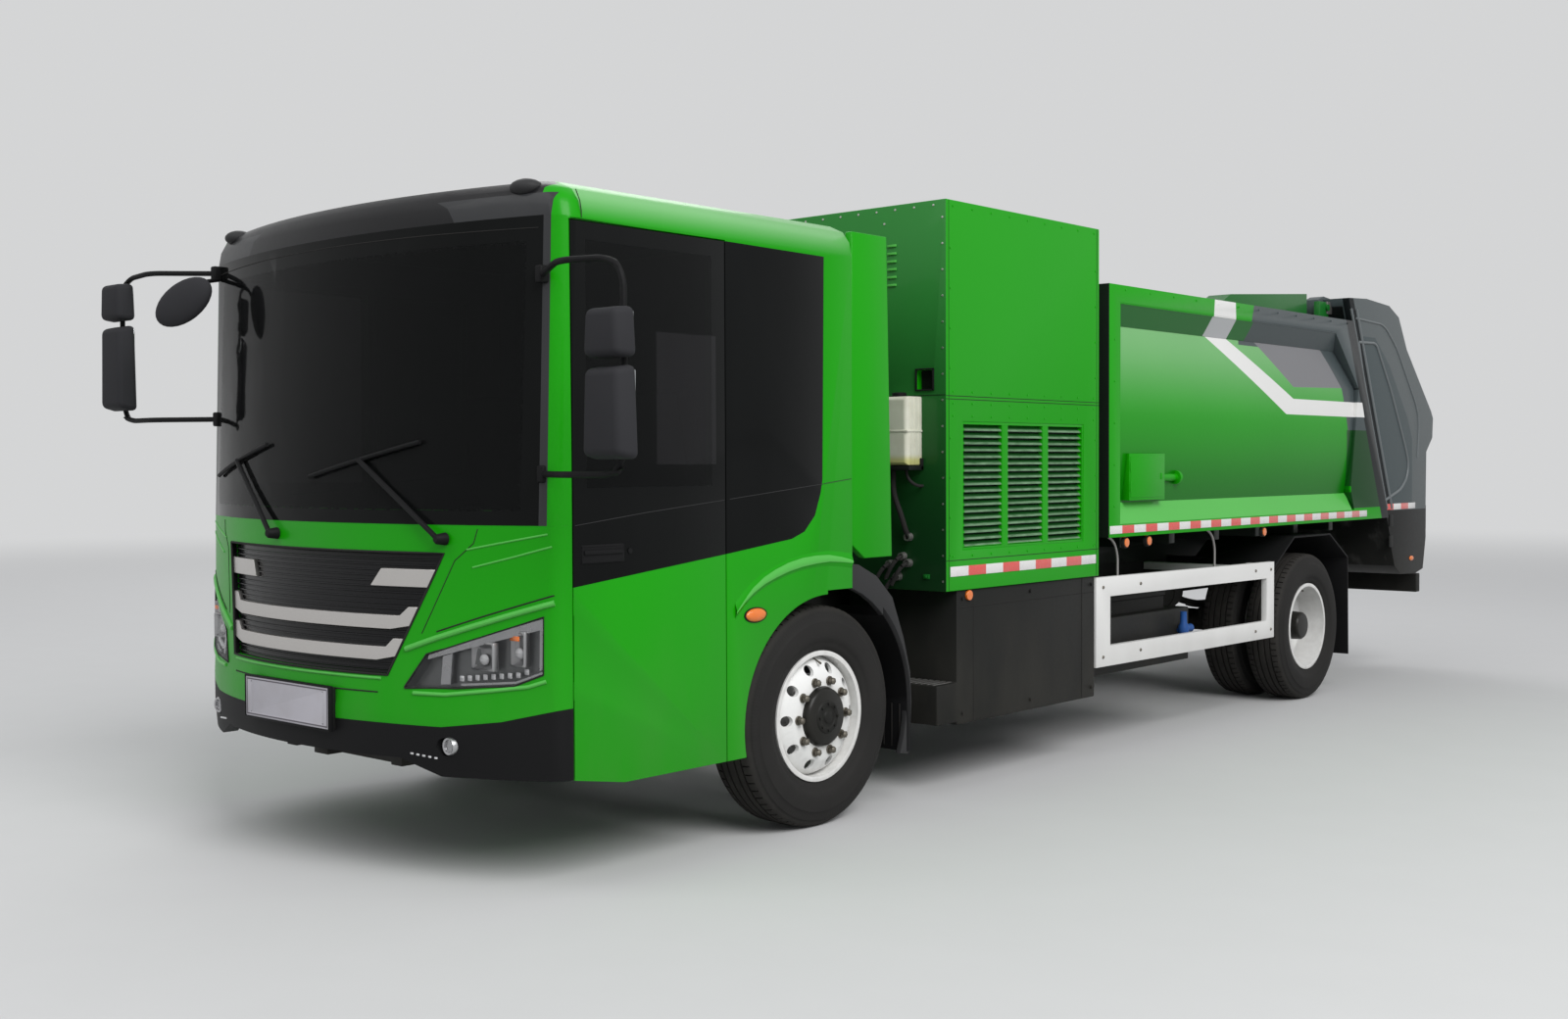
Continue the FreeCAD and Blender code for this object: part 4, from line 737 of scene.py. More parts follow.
def fold_painted_shade_enamel(name):
    """The sloping sheet under the body's top rail, in painted shade: a darker green, with the white stripe painted
    grey where it crosses, and the dark grey field behind.
    """
    shader = Shader(name)
    x, y, z = shader.place()
    back = y - FRONT_AXLE_Y
    # Painted shade: the green and the stripe's white are darkened here, as this sheet faces down
    colour = shader.mix(back > 4.37, (0.012, 0.135, 0.020), tuple(settings().dark_grey))
    colour = shader.mix(back.between(3.792, 4.119), colour, (0.50, 0.50, 0.52))
    return paint_over(shader, colour)


def louvre_enamel(name):
    """The louvres between green mullions and rims: slats darkened as painted shade, with painted highlights speckled
    along their outer edges.
    """
    shader = Shader(name)
    x, y, z = shader.place()
    low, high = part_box("cabinet_louvres")
    bay = (high.y - low.y) / 3
    rim = 0.020
    way = (y - low.y) % bay
    field = (way.between(0.03, bay - 0.03) * z.between(low.z + rim, high.z - rim)
             * y.between(low.y + rim, high.y - rim))
    # Painted shade and highlight: dark slats, speckled pale near their outer edge
    edge = abs(x).rise(high.x - 0.012, high.x - 0.004)
    speckle = shader.noise(55, 3, (1, 0.3, 1))
    slat = shader.mix((edge * speckle * 1.3).clamp(), (0.010, 0.075, 0.014), (0.20, 0.34, 0.20))
    return paint_over(shader, shader.mix(field, tuple(settings().green), slat))


def cabinet_enamel(name):
    """The power cabinet's green, with painted shade on its front face behind the cab: duller and darker there,
    darkest at the bottom and lightest at the top.
    """
    shader = Shader(name)
    x, y, z = shader.place()
    # Painted shade: the front face is darker than the sides, more so towards the bottom
    shade = shader.mix(z.rise(1.1, 2.95), (0.007, 0.045, 0.012), (0.026, 0.21, 0.034))
    return paint_over(shader, shader.mix(y < FRONT_AXLE_Y + 0.9245, tuple(settings().green), shade))


def cab_enamel(name):
    """The cab's green with a painted highlight along the roof's edge, the black fascia over the windscreen and the
    dark lining inside.
    """
    shader = Shader(name)
    x, y, z = shader.place()
    front = y < FRONT_AXLE_Y - 1.5
    fascia = front * (abs(x) < 1.168) * (z > 2.55)
    # Painted highlight: a paler green along the roof's edge behind the windscreen
    rail = z.rise(2.62, 2.74) * (y > FRONT_AXLE_Y - 1.486) * 0.4
    trim = shader.mix(rail, tuple(settings().green), (0.42, 0.66, 0.40))
    trim = shader.mix(fascia, trim, (0.010, 0.010, 0.011))
    lining = (abs(x) < 1.222) * (y > FRONT_AXLE_Y - 1.7) * (y < FRONT_AXLE_Y + 0.125) * (z > 0.72) * (z < 2.73)
    return paint_over(shader, shader.mix(lining, trim, (0.035, 0.036, 0.038)))


def tail_enamel(name):
    """The tailgate's dark grey: a painted highlight round its edge, painted shade beside the seam, and black below
    the strip.
    """
    shader = Shader(name)
    paint = settings()
    x, y, z = shader.place()
    side = abs(x) > 1.2
    # Painted highlight: paler grey on the side outside the core, along the tailgate's rounded edge
    outer = 1 - shader.inside(y, z, TAIL_CORE)
    colour = shader.mix(side * outer * 0.8, tuple(paint.dark_grey), (0.105, 0.118, 0.12))
    # Painted shade: the band of the tailgate's side just behind the seam
    colour = shader.mix(side * (shader.seam_gap(y, z) < 0.135), colour, SEAM_PAINTED_SHADE)
    colour = shader.mix(z < 1.292, colour, tuple(paint.black))
    scuffed = (shader.noise(9, 6, (1, 1, 0.5)) - 0.55).clamp() * 1.6 * (abs(x) < 1.195)
    return paint_over(shader, shader.mix(scuffed.clamp(), colour, (0.14, 0.135, 0.13)), gloss=0.42, coat=0.06)


def wheel_reach(y, z, axle_y):
    """How far a point is from the middle line of an axle."""
    return ((y - axle_y) * (y - axle_y) + (z - AXLE_Z) * (z - AXLE_Z)).root()


def wheel_enamel(name, axle_y, hub_radius, hub_low_x):
    """White wheel enamel with a black hub and brake dust round the holes and the rim's edge."""
    shader = Shader(name)
    x, y, z = shader.place()
    reach = wheel_reach(y, z, axle_y)
    hub = (reach < hub_radius) * (abs(x) > hub_low_x)
    behind = abs(x) < TWIN_INNER_X - 0.14
    streak = shader.noise(26, 4)
    soil = ((reach.rise(0.24, 0.30) * 0.5 + (1 - reach.rise(0.14, 0.19)) * 0.35) * streak * 1.3).clamp()
    colour = shader.mix(soil * 0.6, (0.83, 0.83, 0.815), (0.16, 0.13, 0.10))
    colour = shader.mix(hub.math("MAXIMUM", behind), colour, (0.012, 0.012, 0.011))
    return paint_over(shader, colour, gloss=0.3, dust=0.1)


def rubber(name, axle_y=None):
    """Tyre rubber: fine ribs near the shoulder, dusty tread, slightly worn sidewall."""
    shader = Shader(name)
    x, y, z = shader.place()
    speckle = shader.noise(70, 4)
    broad = shader.noise(4, 4)
    colour = shader.mix((broad * 0.5 + speckle * 0.3).clamp(), (0.012, 0.012, 0.012), (0.032, 0.030, 0.028))
    height = speckle * 0.4
    if axle_y is not None:
        reach = wheel_reach(y, z, axle_y)
        angle = (y - axle_y).math("ARCTAN2", z - AXLE_Z)
        ribs = (angle * 180).wave() * reach.between(0.452, 0.486)
        rings = (reach * 900).wave() * reach.between(0.325, 0.385)
        height = height + ribs * 0.5 + rings * 0.35
        dusty = reach.rise(0.47, 0.512) * shader.noise(14, 5) * 0.45
        colour = shader.mix(dusty.clamp(), colour, (0.075, 0.068, 0.06))
    return shader.surface(base_color=colour, roughness=0.62 + 0.25 * speckle, specular=0.16,
                          normal=shader.bump(height, 0.35, 0.0012))


def moulded(name, colour, rough=0.5, grain=420, strength=0.25):
    """Grained moulded plastic."""
    shader = Shader(name)
    cell = shader.cells(grain)
    broad = shader.noise(3, 4)
    tone = shader.shade(colour, 0.86 + 0.3 * broad)
    return shader.surface(base_color=tone, roughness=rough + 0.12 * broad, specular=0.12,
                          normal=shader.bump(cell, strength, 0.0006))


def steel(name, colour, rough=0.32, stretch=(1, 40, 40)):
    """Bright metal with fine brush lines and a little haze."""
    shader = Shader(name)
    lines = shader.noise(22, 4, stretch)
    haze = shader.noise(6, 4)
    tone = shader.shade(colour, 0.88 + 0.24 * lines)
    return shader.surface(base_color=tone, metallic=0.95, roughness=rough + 0.14 * haze,
                          normal=shader.bump(lines, 0.05, 0.0005))


def tinted(name, see_through, band):
    """Tinted glass. The band function gives where the black printed border covers it."""
    shader = Shader(name)
    x, y, z = shader.place()
    smear = shader.noise(2.2, 4, (1, 1, 0.3))
    cover = band(shader, x, y, z).math("MAXIMUM", 1 - see_through)
    pane = (y - FRONT_AXLE_Y).between(-1.083, -0.735) * z.between(1.675, 2.215)
    tone = shader.mix(pane, (0.006, 0.0065, 0.0065), (0.017, 0.017, 0.018))
    return shader.surface(base_color=shader.shade(tone, 0.6 + 0.8 * smear),
                          roughness=0.035 + 0.05 * smear, alpha=cover, specular=0.07, ior=1.5)


def screen_border(shader, x, y, z):
    """The windscreen's printed border: solid at the edge, then rows of dots that get smaller."""
    reach = (1.171 - abs(x)).math("MINIMUM", z - 1.44).math("MINIMUM", 2.60 - z)
    dots = shader.cells(90)
    return (reach < 0.055).math("MAXIMUM", (dots < (0.085 - reach) * 14) * (reach < 0.085))


def side_border(shader, x, y, z):
    """The side glazing is black all over but for the door's window and the quarter window."""
    back = y - FRONT_AXLE_Y
    door = back.between(-1.465, -0.76) * z.between(1.585, 2.55)
    quarter = back.between(-0.585, -0.115) * z.between(1.62, 2.545)
    return 1 - door.math("MAXIMUM", quarter)


def lens(name, colour, see_through, cells_size=0.0):
    """A lamp lens: smooth, or moulded with rows of small optics."""
    shader = Shader(name)
    x, y, z = shader.place()
    tone = shader.shade(colour, 0.85 + 0.3 * shader.noise(8, 3))
    if cells_size:
        bumps = shader.bump((y * cells_size).wave() * (z * cells_size).wave(), 0.35, 0.002)
    else:
        bumps = shader.bump(shader.noise(30, 2), 0.03, 0.001)
    return shader.surface(base_color=tone, roughness=0.05 + 0.04 * shader.noise(12, 2), alpha=1 - see_through,
                          coat_weight=0.7, coat_roughness=0.02, normal=bumps)


def reflective(name, ends, fields, first=0):
    """Retroreflective strip: white and red fields with a fine honeycomb, from field 0 (white) or 1 (red)."""
    shader = Shader(name)
    x, y, z = shader.place()
    low, high = (FRONT_AXLE_Y + end / 1000 for end in ends)
    red = (((y - low) / (high - low) * fields + first) % 2) > 1
    comb = shader.cells(260, "DISTANCE_TO_EDGE")
    ribs = comb < 0.06
    colour = shader.mix(red, (0.74, 0.74, 0.73), tuple(settings().strip_red))
    colour = shader.mix(ribs * 0.35, colour, (0.5, 0.42, 0.4))
    soil = (shader.noise(18, 4) - 0.5).clamp() * 0.5
    return shader.surface(base_color=shader.mix(soil, colour, (0.25, 0.22, 0.19)), roughness=0.22 + comb * 0.4,
                          coat_weight=0.5, coat_roughness=0.1, normal=shader.bump(comb, 0.15, 0.0005))


def woven(name, colour):
    """Seat cloth with a plain weave."""
    shader = Shader(name)
    x, y, z = shader.place()
    warp = ((x + z * 0.35) * 2600).wave()
    weft = ((y + z) * 2600).wave()
    weave = warp * weft * 0.5 + 0.5
    tone = shader.shade(colour, 0.7 + 0.45 * weave + 0.3 * shader.noise(5, 3))
    return shader.surface(base_color=tone, roughness=0.9, specular=0.2, normal=shader.bump(weave, 0.5, 0.0006))


def blank_plate(name):
    """Pressed licence plate, left blank."""
    shader = Shader(name)
    x, y, z = shader.place()
    middle = (PLATE_LOW + PLATE_HIGH) / 2
    half_x, half_z = (PLATE_HIGH.x - PLATE_LOW.x) / 2, (PLATE_HIGH.z - PLATE_LOW.z) / 2
    edge = (half_x - abs(x)).math("MINIMUM", half_z - abs(z - middle.z))
    rim = edge.between(0.008, 0.014)
    soil = (shader.noise(9, 5) - 0.45).clamp() * 0.6
    colour = shader.mix(rim, (0.50, 0.485, 0.53), (0.10, 0.09, 0.11))
    face = shader.mix(soil, colour, (0.3, 0.27, 0.25))
    face = shader.mix(y > PLATE_LOW.y + 0.004, face, (0.008, 0.008, 0.008))
    return shader.surface(base_color=face, roughness=0.4 + soil * 0.4,
                          metallic=0.1, normal=shader.bump(edge.rise(0.006, 0.016), 0.4, 0.002))


def translucent_tank(name):
    """Yellowish white tank plastic with its coolant level and grime."""
    shader = Shader(name)
    x, y, z = shader.place()
    low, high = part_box("expansion_tank")
    level = (z - low.z).rise(0.02, 0.06)
    soil = (shader.noise(11, 5) - 0.42).clamp() * 0.7
    colour = shader.mix(level, (0.52, 0.50, 0.20), (0.66, 0.655, 0.55))
    return shader.surface(base_color=shader.mix(soil, colour, (0.30, 0.26, 0.17)), roughness=0.45 + soil * 0.3,
                          specular=0.4, normal=shader.bump(shader.noise(90, 2), 0.05, 0.001))


def finned(name):
    """The dark radiator core behind the louvres, darkened between its fins as painted shade."""
    shader = Shader(name)
    x, y, z = shader.place()
    fins = (z * 900).wave() * 0.5 + 0.5
    tubes = (y * 420).wave() * 0.5 + 0.5
    # Painted shade: the colour darkens between the fins
    tone = shader.shade((0.03, 0.045, 0.035), 0.3 + fins * 0.9)
    return shader.surface(base_color=tone, roughness=0.6, metallic=0.4,
                          normal=shader.bump(fins + tubes * 0.6, 0.6, 0.002))


MATERIALS = {}


def make_materials():
    """Makes all finishes from the paint settings."""
    paint = settings()
    MATERIALS.update({
        "green": enamel("green_enamel", paint.green),
        "cab": cab_enamel("cab_enamel"),
        "cabinet": cabinet_enamel("cabinet_enamel"),
        "body": body_enamel("body_enamel"),
        "tail": tail_enamel("tail_enamel"),
        "grey": enamel("grey_enamel", paint.dark_grey, gloss=0.4),
        "pale_grey": enamel("pale_grey_enamel", (0.17, 0.19, 0.2), gloss=0.4),
        "black": enamel("black_enamel", paint.black, gloss=0.5, coat=0.04, dust=0.12),
        "white": enamel("white_enamel", paint.white, gloss=0.35, dust=0.2),
        "blue": enamel("blue_enamel", (0.01, 0.07, 0.26), gloss=0.4),
        # Painted shade: a darker copy of the green for the cabinet's latch and the covers over the tailgate's hinges
        "deep_green": enamel("deep_green_enamel", (0.008, 0.125, 0.016)),
        # Painted highlight: a paler green for the nose's creases, the arch's crest, the cabinet's vents and the
        # lower folded sheet
        "light_green": enamel("light_green_enamel", (0.09, 0.46, 0.075)),
        "louvre": louvre_enamel("louvre_enamel"),
        "fold": fold_painted_shade_enamel("fold_painted_shade_enamel"),
        # Painted highlight: a paler grey for the tailgate's ridges
        "tail_edge": enamel("tail_edge_enamel", (0.15, 0.165, 0.17), gloss=0.34),
        "front_rim": wheel_enamel("front_rim_enamel", FRONT_AXLE_Y, 0.139, FRONT_WHEEL_X + 0.05),
        "rear_rim": wheel_enamel("rear_rim_enamel", REAR_AXLE_Y, 0.112, FRONT_WHEEL_X - 0.17),
        "front_tyre": rubber("front_tyre_rubber", FRONT_AXLE_Y),
        "rear_tyre": rubber("rear_tyre_rubber", REAR_AXLE_Y),
        "rubber": rubber("trim_rubber"),
        "plastic": moulded("black_plastic", (0.0075, 0.0075, 0.008)),
        "soft_plastic": moulded("cabin_plastic", (0.028, 0.028, 0.031), 0.62, 700, 0.35),
        "grey_plastic": moulded("grey_plastic", (0.036, 0.036, 0.037), 0.48),
        "gloss_black": enamel("gloss_black", (0.008, 0.008, 0.009), gloss=0.2, coat=0.12, dust=0.02),
        "bright": steel("bright_trim", paint.bright, 0.28),
        "bare_steel": steel("bare_steel", (0.32, 0.31, 0.30), 0.42),
        "nut": steel("nut_metal", (0.17, 0.155, 0.13), 0.45, (1, 1, 1)),
        "lamp_chrome": steel("lamp_chrome", (0.45, 0.45, 0.46), 0.2, (1, 1, 1)),
        "lamp_bowl": steel("lamp_bowl", (0.36, 0.36, 0.365), 0.24, (1, 1, 1)),
        "lamp_shell": steel("lamp_housing", (0.16, 0.165, 0.165), 0.3, (1, 1, 1)),
        "cabinet_strip": reflective("cabinet_strip", CABINET_STRIP, 9),
        "body_strip": reflective("body_strip", BODY_STRIP, 27),
        "tail_strip": reflective("tail_strip", TAIL_STRIP, 4, 1),
        "mirror": steel("mirror_glass", (0.66, 0.68, 0.70), 0.02, (1, 1, 1)),
        "screen": tinted("windscreen_glass", 0.20, screen_border),
        "side_glass": tinted("side_glass", 0.22, side_border),
        "clear_lens": lens("clear_lens", (0.05, 0.052, 0.055), 0.88),
        "amber_lens": lens("amber_lens", (0.86, 0.19, 0.015), 0.04, 900),
        "red_lens": lens("red_lens", (0.58, 0.012, 0.01), 0.04, 700),
        # Painted highlight: a pale glossy finish for the round lenses in the reflectors and the day lights, standing
        # in for their glints
        "lamp_glow": lens("lamp_reflector", (0.66, 0.66, 0.67), 0.0, 420),
        "cloth": woven("seat_cloth", (0.045, 0.047, 0.055)),
        "plate": blank_plate("blank_plate"),
        "tank": translucent_tank("tank_plastic"),
        "core": finned("radiator_core"),
    })


# Wheels and tyres

def tyre_piece(name, centre_x, axle_y):
    """A ribbed road tyre: one tread pitch is turned in three steps, its sipes are pressed in, and it goes round."""
    wheels = bpy.context.scene.truck_wheels
    floor = TYRE_RADIUS - wheels.groove_depth
    half = [(x, floor if drop is GROOVE else TYRE_RADIUS - drop) for x, drop in TREAD_HALF] + SIDEWALL_HALF
    section = [(-x, r) for x, r in reversed(half[1:])] + half
    centre = Vector((centre_x, axle_y, AXLE_Z))
    pitch = 2 * math.pi / wheels.tread_pitches
    piece = line(name, [centre + Vector((x, 0, r)) for x, r in section])
    with Editing(piece) as edit:
        edit.everything()
        bpy.ops.mesh.spin(steps=1, angle=pitch * SIPE_SHARE, center=centre, axis=AXES["X"])
        bpy.ops.mesh.spin(steps=2, angle=pitch * (1 - SIPE_SHARE), center=centre, axis=AXES["X"])
        edit.tidy()
        sipe_way = Matrix.Rotation(-pitch * SIPE_SHARE / 2, 3, "X") @ AXES["Z"]

        def sipe(middle, normal):
            out = middle - centre
            across = abs(out.x)
            out.x = 0
            near = out.normalized().dot(sipe_way) > math.cos(pitch * 0.12)
            on_shoulder = SHOULDER_FROM < across < SHOULDER_TO
            return near and on_shoulder and (middle - centre).length > TYRE_RADIUS - 0.012

        edit.faces(sipe)
        edit.push(-wheels.groove_depth * 0.6)
        edit.everything()
        bpy.ops.mesh.spin(steps=wheels.tread_pitches - 1, dupli=True, center=centre, axis=AXES["X"],
                          angle=2 * math.pi * (1 - 1 / wheels.tread_pitches))
        edit.tidy()
    return piece


def hex_nut(name, spot, radius, height):
    """A flanged wheel nut that points along +X."""
    flange = start("cylinder", name, vertices=24, radius=radius * 1.32, depth=height * 0.22,
                   location=spot + AXES["X"] * height * 0.11, rotation=(0, math.pi / 2, 0))
    body = start("cylinder", name + "_body", vertices=6, radius=radius, depth=height,
                 location=spot + AXES["X"] * height * 0.5, rotation=(0, math.pi / 2, 0))
    with Editing(body) as edit:
        edit.faces(lambda middle, normal: normal.x > 0.9)
        edit.inset(radius * 0.22, 0.0015)
        edit.inset(radius * 0.25, height * 0.12)
    return joined(name, [rounded(flange, 0.001, 1), rounded(body, 0.0012, 1)])


def nut_ring(name, face_x, axle_y, height):
    """A wheel's ring of nuts, on the disc's face."""
    wheels = bpy.context.scene.truck_wheels
    nut = hex_nut(name, Vector((face_x, axle_y, AXLE_Z + wheels.nut_circle / 2)), NUT_RADIUS, height)
    return around(nut, wheels.nuts, Vector((face_x, axle_y, AXLE_Z)), turn=math.pi / wheels.nuts)


def valve_stem(name, axle_y, low_x, high_x):
    """A bent valve stem with its cap, between two offsets from the wheel's middle."""
    foot = Vector((FRONT_WHEEL_X + low_x, axle_y, AXLE_Z + VALVE_REACH))
    tip = Vector((FRONT_WHEEL_X + high_x, axle_y, AXLE_Z + VALVE_REACH - 0.03))
    stem = pipe(name, [foot, foot + Vector((0.012, 0, -0.004)), tip], 0.0038, 0.006)
    cap = pipe(name + "_cap", [tip, tip + (tip - foot).normalized() * 0.012], 0.0055)
    return joined(name, [stem, cap])


class TRUCK_OT_tyres(bpy.types.Operator):
    """Six ribbed tyres, on the front hubs and in pairs on the rear ones"""
    bl_idname = "truck.tyres"
    bl_label = "Tyres"

    def execute(self, context):
        front = tyre_piece("tyre_front_left_tread", FRONT_WHEEL_X, FRONT_AXLE_Y)
        outer = tyre_piece("tyre_rear_outer", FRONT_WHEEL_X, REAR_AXLE_Y)
        inner = copied(outer, "tyre_rear_inner", Matrix.Translation((TWIN_INNER_X - FRONT_WHEEL_X, 0, 0)))
        rear = joined("tyres_rear_left_tread", [outer, inner])
        finish_pair(front, "front_tyre", "wheel_front_left", ("tyre_front_left",), angle=40)
        finish_pair(rear, "rear_tyre", "wheels_rear_left", ("tyres_rear_left",), angle=40)
        return {"FINISHED"}


class TRUCK_OT_wheels(bpy.types.Operator):
    """Disc wheels with nuts, hub cover and valve stems"""
    bl_idname = "truck.wheels"
    bl_label = "Wheels"

    def execute(self, context):
        for node in ("wheel_front_left", "wheel_front_right"):
            dressed(node, node + "_disc", "front_rim", 0.0015, 40)
        for node in ("wheels_rear_left", "wheels_rear_right"):
            dressed(node, node + "_discs", "rear_rim", 0.0015, 40)
        front = nut_ring("wheel_nuts_front_left", FRONT_WHEEL_X + 0.124, FRONT_AXLE_Y, 0.030)
        rear = nut_ring("wheel_nuts_rear_left", FRONT_WHEEL_X - 0.1485, REAR_AXLE_Y, 0.034)
        finish_pair(front, "nut", "wheel_front_left")
        finish_pair(rear, "nut", "wheels_rear_left")
        front = valve_stem("valve_stem_front_left", FRONT_AXLE_Y, 0.045, 0.108)
        rear = valve_stem("valve_stem_rear_left", REAR_AXLE_Y, -0.05, 0.07)
        finish_pair(front, "nut", "wheel_front_left")
        finish_pair(rear, "nut", "wheels_rear_left")
        finish_pair(self.hub_cover(), "black", "wheel_front_left")
        return {"FINISHED"}

    def hub_cover(self):
        """The front hub's stepped cover with its ring of small bolts."""
        centre = Vector((FRONT_WHEEL_X + 0.158, FRONT_AXLE_Y, AXLE_Z))
        cap = lathe("hub_cap", [(-0.012, 0.0), (-0.012, 0.078), (0.0, 0.078), (0.006, 0.070), (0.006, 0.052),
                                (0.002, 0.048), (0.002, 0.030), (0.009, 0.026), (0.011, 0.0)], centre)
        bolt = start("cylinder", "hub_cap_bolts", vertices=6, radius=0.0065, depth=0.012,
                     location=centre + Vector((0.008, 0, 0.061)), rotation=(0, math.pi / 2, 0))
        bolts = around(rounded(bolt, 0.0008, 1), 8, centre)
        return joined("hub_cover_front_left", [rounded(cap, 0.001, 1), bolts])


# Cab

def nose_point(x, z):
    """The point of the nose's solids at x and z in millimetres, found by a ray from the front."""
    hits = [tree.ray_cast(at(x, -2600, z), AXES["Y"])[0] for tree in NOSE]
    return min((hit for hit in hits if hit), key=lambda hit: hit.y)


def along_nose(ends, count):
    """Points on the nose between the given (x, z) corners, so many to each stretch."""
    found = []
    for (x0, z0), (x1, z1) in zip(ends, ends[1:]):
        for step in range(count):
            share = step / count
            found.append(nose_point(x0 + (x1 - x0) * share, z0 + (z1 - z0) * share))
    return found + [nose_point(*ends[-1])]


def nose_lines(name, lines):
    """Fine rounds that follow the nose."""
    return [pipe(name, along_nose(ends, count), radius) for ends, count, radius in lines]


def bow_point(x, z, proud=0.0):
    """The point of the bowed nose at x and z in millimetres, between its rounded corners."""
    for low, high in zip(NOSE_LEVELS, NOSE_LEVELS[1:]):
        if z <= high[0]:
            break
    share = (z - low[0]) / (high[0] - low[0])
    nose = low[1] + (high[1] - low[1]) * share
    bow = low[2] + (high[2] - low[2]) * share - nose
    radius = (SIDE ** 2 + bow * bow) / (2 * bow)
    return at(x, nose + radius - math.sqrt(radius * radius - x * x), z) - AXES["Y"] * proud


def height_on(outline, x):
    """The z of a polyline of (x, z) points at the given x."""
    for (x0, z0), (x1, z1) in zip(outline, outline[1:]):
        if x <= x1:
            break
    return z0 + (z1 - z0) * (x - x0) / (x1 - x0)


def skin(name, rows, thickness=0.003):
    """A sheet over rows of points, bridged row by row and given a thickness."""
    piece = joined(name, [line(name, row) for row in rows])
    with Editing(piece) as edit:
        edit.everything("EDGE")
        bpy.ops.mesh.bridge_edge_loops(type="SINGLE")
        edit.tidy()
    return modify(piece, "SOLIDIFY", thickness=thickness, offset=0)


def nose_patch(name, lower, upper, proud=0.0, columns=14, rows=4, thickness=0.003):
    """A sheet on the nose between two polylines of (x, z) points in millimetres."""
    low, high = max(lower[0][0], upper[0][0]), min(lower[-1][0], upper[-1][0])
    xs = [low + (high - low) * step / columns for step in range(columns + 1)]
    levels = []
    for row in range(rows + 1):
        share = row / rows
        levels.append([bow_point(x, height_on(lower, x) * (1 - share) + height_on(upper, x) * share, proud)
                       for x in xs])
    return skin(name, levels, thickness)


def shifted(outline, step):
    """A polyline of (x, z) points, raised by a step."""
    return [(x, z + step) for x, z in outline]


class TRUCK_OT_cab_panels(bpy.types.Operator):
    """The cab's panels, doors and fairings, with their seams and creases"""
    bl_idname = "truck.cab_panels"
    bl_label = "Cab panels"

    def execute(self, context):
        dressed("cab_shell", "cab_panels", "cab", 0.003)
        dressed("front_panel", "nose_panel", "green", 0.003)
        dressed("cab_fairings", "side_fairings", "green", 0.005)
        for side in ("left", "right"):
            dressed("door_" + side, "door_skin_" + side, "cab", 0.003)
            dressed("door_glass_" + side, "door_pane_" + side, "side_glass", 0.0008)
        self.creases()
        self.joints()
        return {"FINISHED"}

    def creases(self):
        """The swage over each front wheel with its crest, and the creases of the nose; crest and creases are in
        paler green as painted highlights.
        """
        rows = [[(x, y, z + step) for y, z in ARCH_LINE] for x, step in SWAGE_SECTION]
        finish(both_sides(skin("arch_swage", rows, 0.002)), "green", "cab", angle=60)
        swell = [math.sin(math.pi * (index + 0.4) / (len(ARCH_LINE) + 0.8)) for index in range(len(ARCH_LINE))]
        crest = [[(1286 + rise * wide, y, z - 4 + step * wide) for (y, z), wide in zip(ARCH_LINE, swell)]
                 for rise, step in CREST_SECTION]
        finish(both_sides(skin("arch_crest", crest, 0.001)), "light_green", "cab", angle=60)
        on_both_sides("nose_creases", nose_lines("crease", NOSE_CREASES), "light_green", "cab")

    def joints(self):
        """Dark joints between the outer panels, and the grey one along the belt."""
        corner = [(1262, -1500, 2742), (1272, -1488, 2700), (1276, -1484, 2660), (1276, -1484, 2634)]
        joints = nose_lines("joint", NOSE_JOINTS) + [pipe("joint", corner, 0.002)]
        on_both_sides("cab_joints", joints, "rubber", "cab")
        belt = [pipe("belt_joint", [(BELT_SIDE, y0, z0), (BELT_SIDE, y1, z1)], BELT_RADIUS)
                for y0, z0, y1, z1 in ((-655, 1525, -30, 1583), (-25, 1584, 172, 1604))]
        on_both_sides("belt_joints", belt, "grey_plastic", "cab")
        points = [(BELT_SIDE, -1530, 1439), (BELT_SIDE, -1143, 1481), (BELT_SIDE, -688, 1522)]
        door_belt = pipe("door_belt_joint_left", points, BELT_RADIUS)
        finish_pair(door_belt, "grey_plastic", "door_left")


